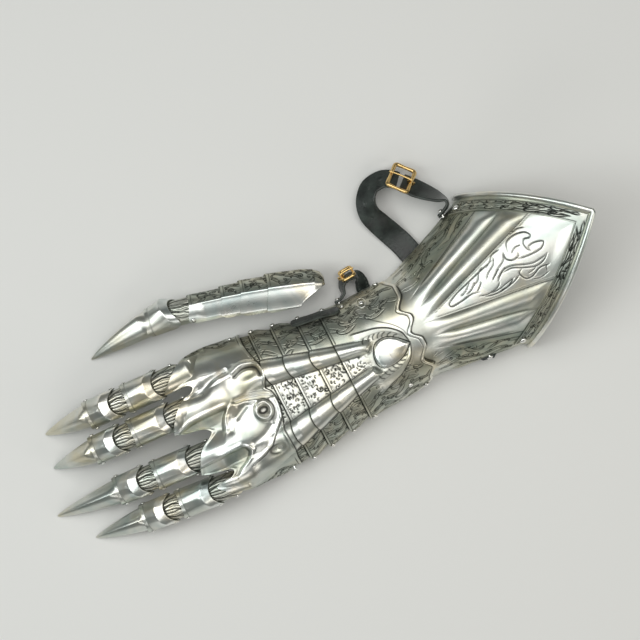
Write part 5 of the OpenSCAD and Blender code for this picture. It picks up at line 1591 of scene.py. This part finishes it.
strap("forearm_strap", LONG, 19, 2.4, (14, 26, 38, 50), ("cuff_strap_long",), "cuff")
strap("forearm_strap_tab", SHORT, 19, 2.4, (), ("cuff_strap_short",), "cuff")
strap("wrist_strap_leather", WSTRAP, 11.5, 2.0, (26, 34), ("wrist_strap",), "wrist")
v, f = np.linspace(0, 1, 68), np.linspace(52, 64, 30)
V, F = np.meshgrid(v, f, indexing="ij")
rnd = 5.2 * (1 - np.sqrt(np.clip(1 - ((F - 58) / 6.2) ** 2, 0, 1)))
Y = (31 + rnd) + (39.5 - 2 * rnd) * V
ofs = np.where(Y < 40, 2.4, 3.4)
ofs = np.interp(Y, [31, 38, 46, 70], [2.4, 2.4, 3.4, 3.4])
dash = (np.sin(Y / 3.0 * 2 * math.pi) > -0.3) * np.exp(-((np.abs(F - 58) - 4.4) / 0.45) ** 2)
M = Mesh()
M.shell(srf(Y, F, ofs + 0.2 * dash, False), srf(Y, F, ofs - 2.0, False), dash * 0.8, 0.3)
M.out("thumb_leather_hinge", M_LEATHER, "wrist", ("thumb_leather",), "leather", 60)


def frame_pts(w, l, r, n=8):
    """rounded rectangle, local x along the strap"""
    out = []
    cr_ = 2.4
    for sx, sy, a0 in ((1, 1, 0), (-1, 1, 90), (-1, -1, 180), (1, -1, 270)):
        for a in np.linspace(a0, a0 + 90, n):
            out.append([sx * (l / 2 - cr_) + cr_ * math.cos(math.radians(a)), sy * (w / 2 - cr_) + cr_ * math.sin(math.radians(a)), 0])
    out = np.array(out)
    q = []
    for k in range(len(out)):
        a, b = out[k], out[(k + 1) % len(out)]
        m = max(1, int(np.linalg.norm(b - a) / 1.0))
        for j in range(m):
            q.append(a + (b - a) * j / m)
    return np.array(q)


def buckle(name, pname, body, pbody, at, turn, lean, lift, w, l, r, pl, node, pnode):
    R = rot("z", turn) @ rot("x", lean)
    M = Mesh()
    p = frame_pts(w, l, r)
    # hammered wire: a little thicker at the corners, end bar slightly bowed
    p[:, 2] += 0.25 * np.sin(p[:, 1] / w * math.pi)
    rad = r * (1 + 0.10 * np.cos(np.arctan2(p[:, 1] / w, p[:, 0] / l) * 4 + math.pi))
    M.tube((p + [0, 0, lift]) @ R.T + at, rad, 14, closed=True)
    M.out(name, M_BRASS, body, (node,), "brass", 60)
    M = Mesh()
    x0 = -l / 2
    a = np.linspace(-200, 90, 22)
    eye = np.stack([x0 + (r + 1.0) * np.cos(np.radians(a)), 0 * a, lift + (r + 1.0) * np.sin(np.radians(a))], -1)
    t = np.linspace(0, 1, 22)[1:]
    arm = np.stack([x0 + pl * t, 0 * t, lift + r + 1.0 - (0.35 + 0 * t) * t + 0.5 * np.sin(t * math.pi)], -1)
    path = np.concatenate([eye, arm])
    M.tube(path @ R.T + at, np.concatenate([np.full(len(eye), 0.9), 0.95 - 0.25 * t]), 10)
    M.out(pname, M_BRASS, pbody, (pnode,), "brass", 60)


buckle("forearm_buckle", "forearm_buckle_tongue", "cuff", "cuff_prong", np.array([111, -57, 13.7]), 40, 42, 4.2, 25, 17, 1.5, 19, "cuff_buckle_frame", "cuff_buckle_prong")
buckle("wrist_buckle", "wrist_buckle_tongue", "wrist", "wrist_prong", np.array([62.3, 13, 10.8]), -86, -62, 3.3, 15, 10, 1.2, 11.6, "wrist_buckle_frame", "wrist_buckle_prong")

# carried-over construction nodes
for n in ("finger_hinge_brackets",):
    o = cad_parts[n]
    if not o.data.materials:
        o.data.materials.append(M_FAN)
    for s in o.material_slots:
        s.link = "OBJECT"
        s.material = M_FAN


# ---------------------------------------------------------------- floor, light, camera
fm = bpy.data.materials.new("pale_floor")
fm.use_nodes = True
fb = fm.node_tree.nodes["Principled BSDF"]
fb.inputs["Base Color"].default_value = (0.74, 0.74, 0.73, 1)
fb.inputs["Roughness"].default_value = 0.75
me = bpy.data.meshes.new("floor")
me.from_pydata([(-6, -6, 0), (6, -6, 0), (6, 6, 0), (-6, 6, 0)], [], [(0, 1, 2, 3)])
me.materials.append(fm)
fl = bpy.data.objects.new("floor", me)
bpy.context.scene.collection.objects.link(fl)

w = bpy.data.worlds.new("studio")
bpy.context.scene.world = w
w.use_nodes = True
bg = w.node_tree.nodes["Background"]
bg.inputs["Color"].default_value = (0.80, 0.86, 0.82, 1)
bg.inputs["Strength"].default_value = 0.16

up = np.array([0.891, -0.454, 0.0])
rt = np.array([-0.454, -0.891, 0.0])


def pos(r, u, z):
    p = rt * r + up * u
    return (float(p[0]), float(p[1]), z)


def area(name, loc, target, sx, sy, radiance, color=(1, 1, 1)):
    l = bpy.data.lights.new(name, "AREA")
    l.energy = radiance * math.pi * sx * sy
    l.color = color
    l.shape = "RECTANGLE"
    l.size = sx
    l.size_y = sy
    o = bpy.data.objects.new(name, l)
    bpy.context.scene.collection.objects.link(o)
    o.location = loc
    o.rotation_mode = "QUATERNION"
    o.rotation_quaternion = (Vector(target) - Vector(loc)).to_track_quat("-Z", "Y")
    return o


area("overhead", pos(0.12, 0.36, 1.55), (0, 0, 0.03), 1.5, 1.15, 2.35, (1.0, 0.99, 0.965))
area("low_left", pos(-0.74, -0.38, 1.5), (0, 0, 0.03), 0.8, 0.7, 2.0, (1.0, 1.0, 0.97))
area("left", pos(-1.05, -0.10, 1.05), (0, 0, 0.03), 0.55, 1.1, 2.8, (0.95, 1.0, 0.985))
area("right", pos(1.10, -0.35, 0.75), (0, 0, 0.03), 0.45, 0.9, 2.3, (1.0, 0.95, 0.86))
area("front", pos(0.0, -1.10, 0.85), (0, 0, 0.03), 0.9, 0.4, 1.6, (1.0, 0.98, 0.95))

cam = bpy.data.cameras.new("camera")
cam.lens = 200
cam.sensor_width = 36
co = bpy.data.objects.new("camera", cam)
bpy.context.scene.collection.objects.link(co)
cx, cy = (42.2 - CX) / 1000, (48.5 - CY) / 1000
dist = 0.499 / 36 * 200
co.location = (cx, cy, 0.045 + dist)
from mathutils import Matrix

m = Matrix(((rt[0], up[0], 0, cx), (rt[1], up[1], 0, cy), (rt[2], up[2], 1, 0.045 + dist), (0, 0, 0, 1)))
co.matrix_world = m
cam.clip_start, cam.clip_end = 0.05, 20
bpy.context.scene.camera = co
bpy.context.scene.view_settings.view_transform = "Standard"

bpy.context.view_layer.update()
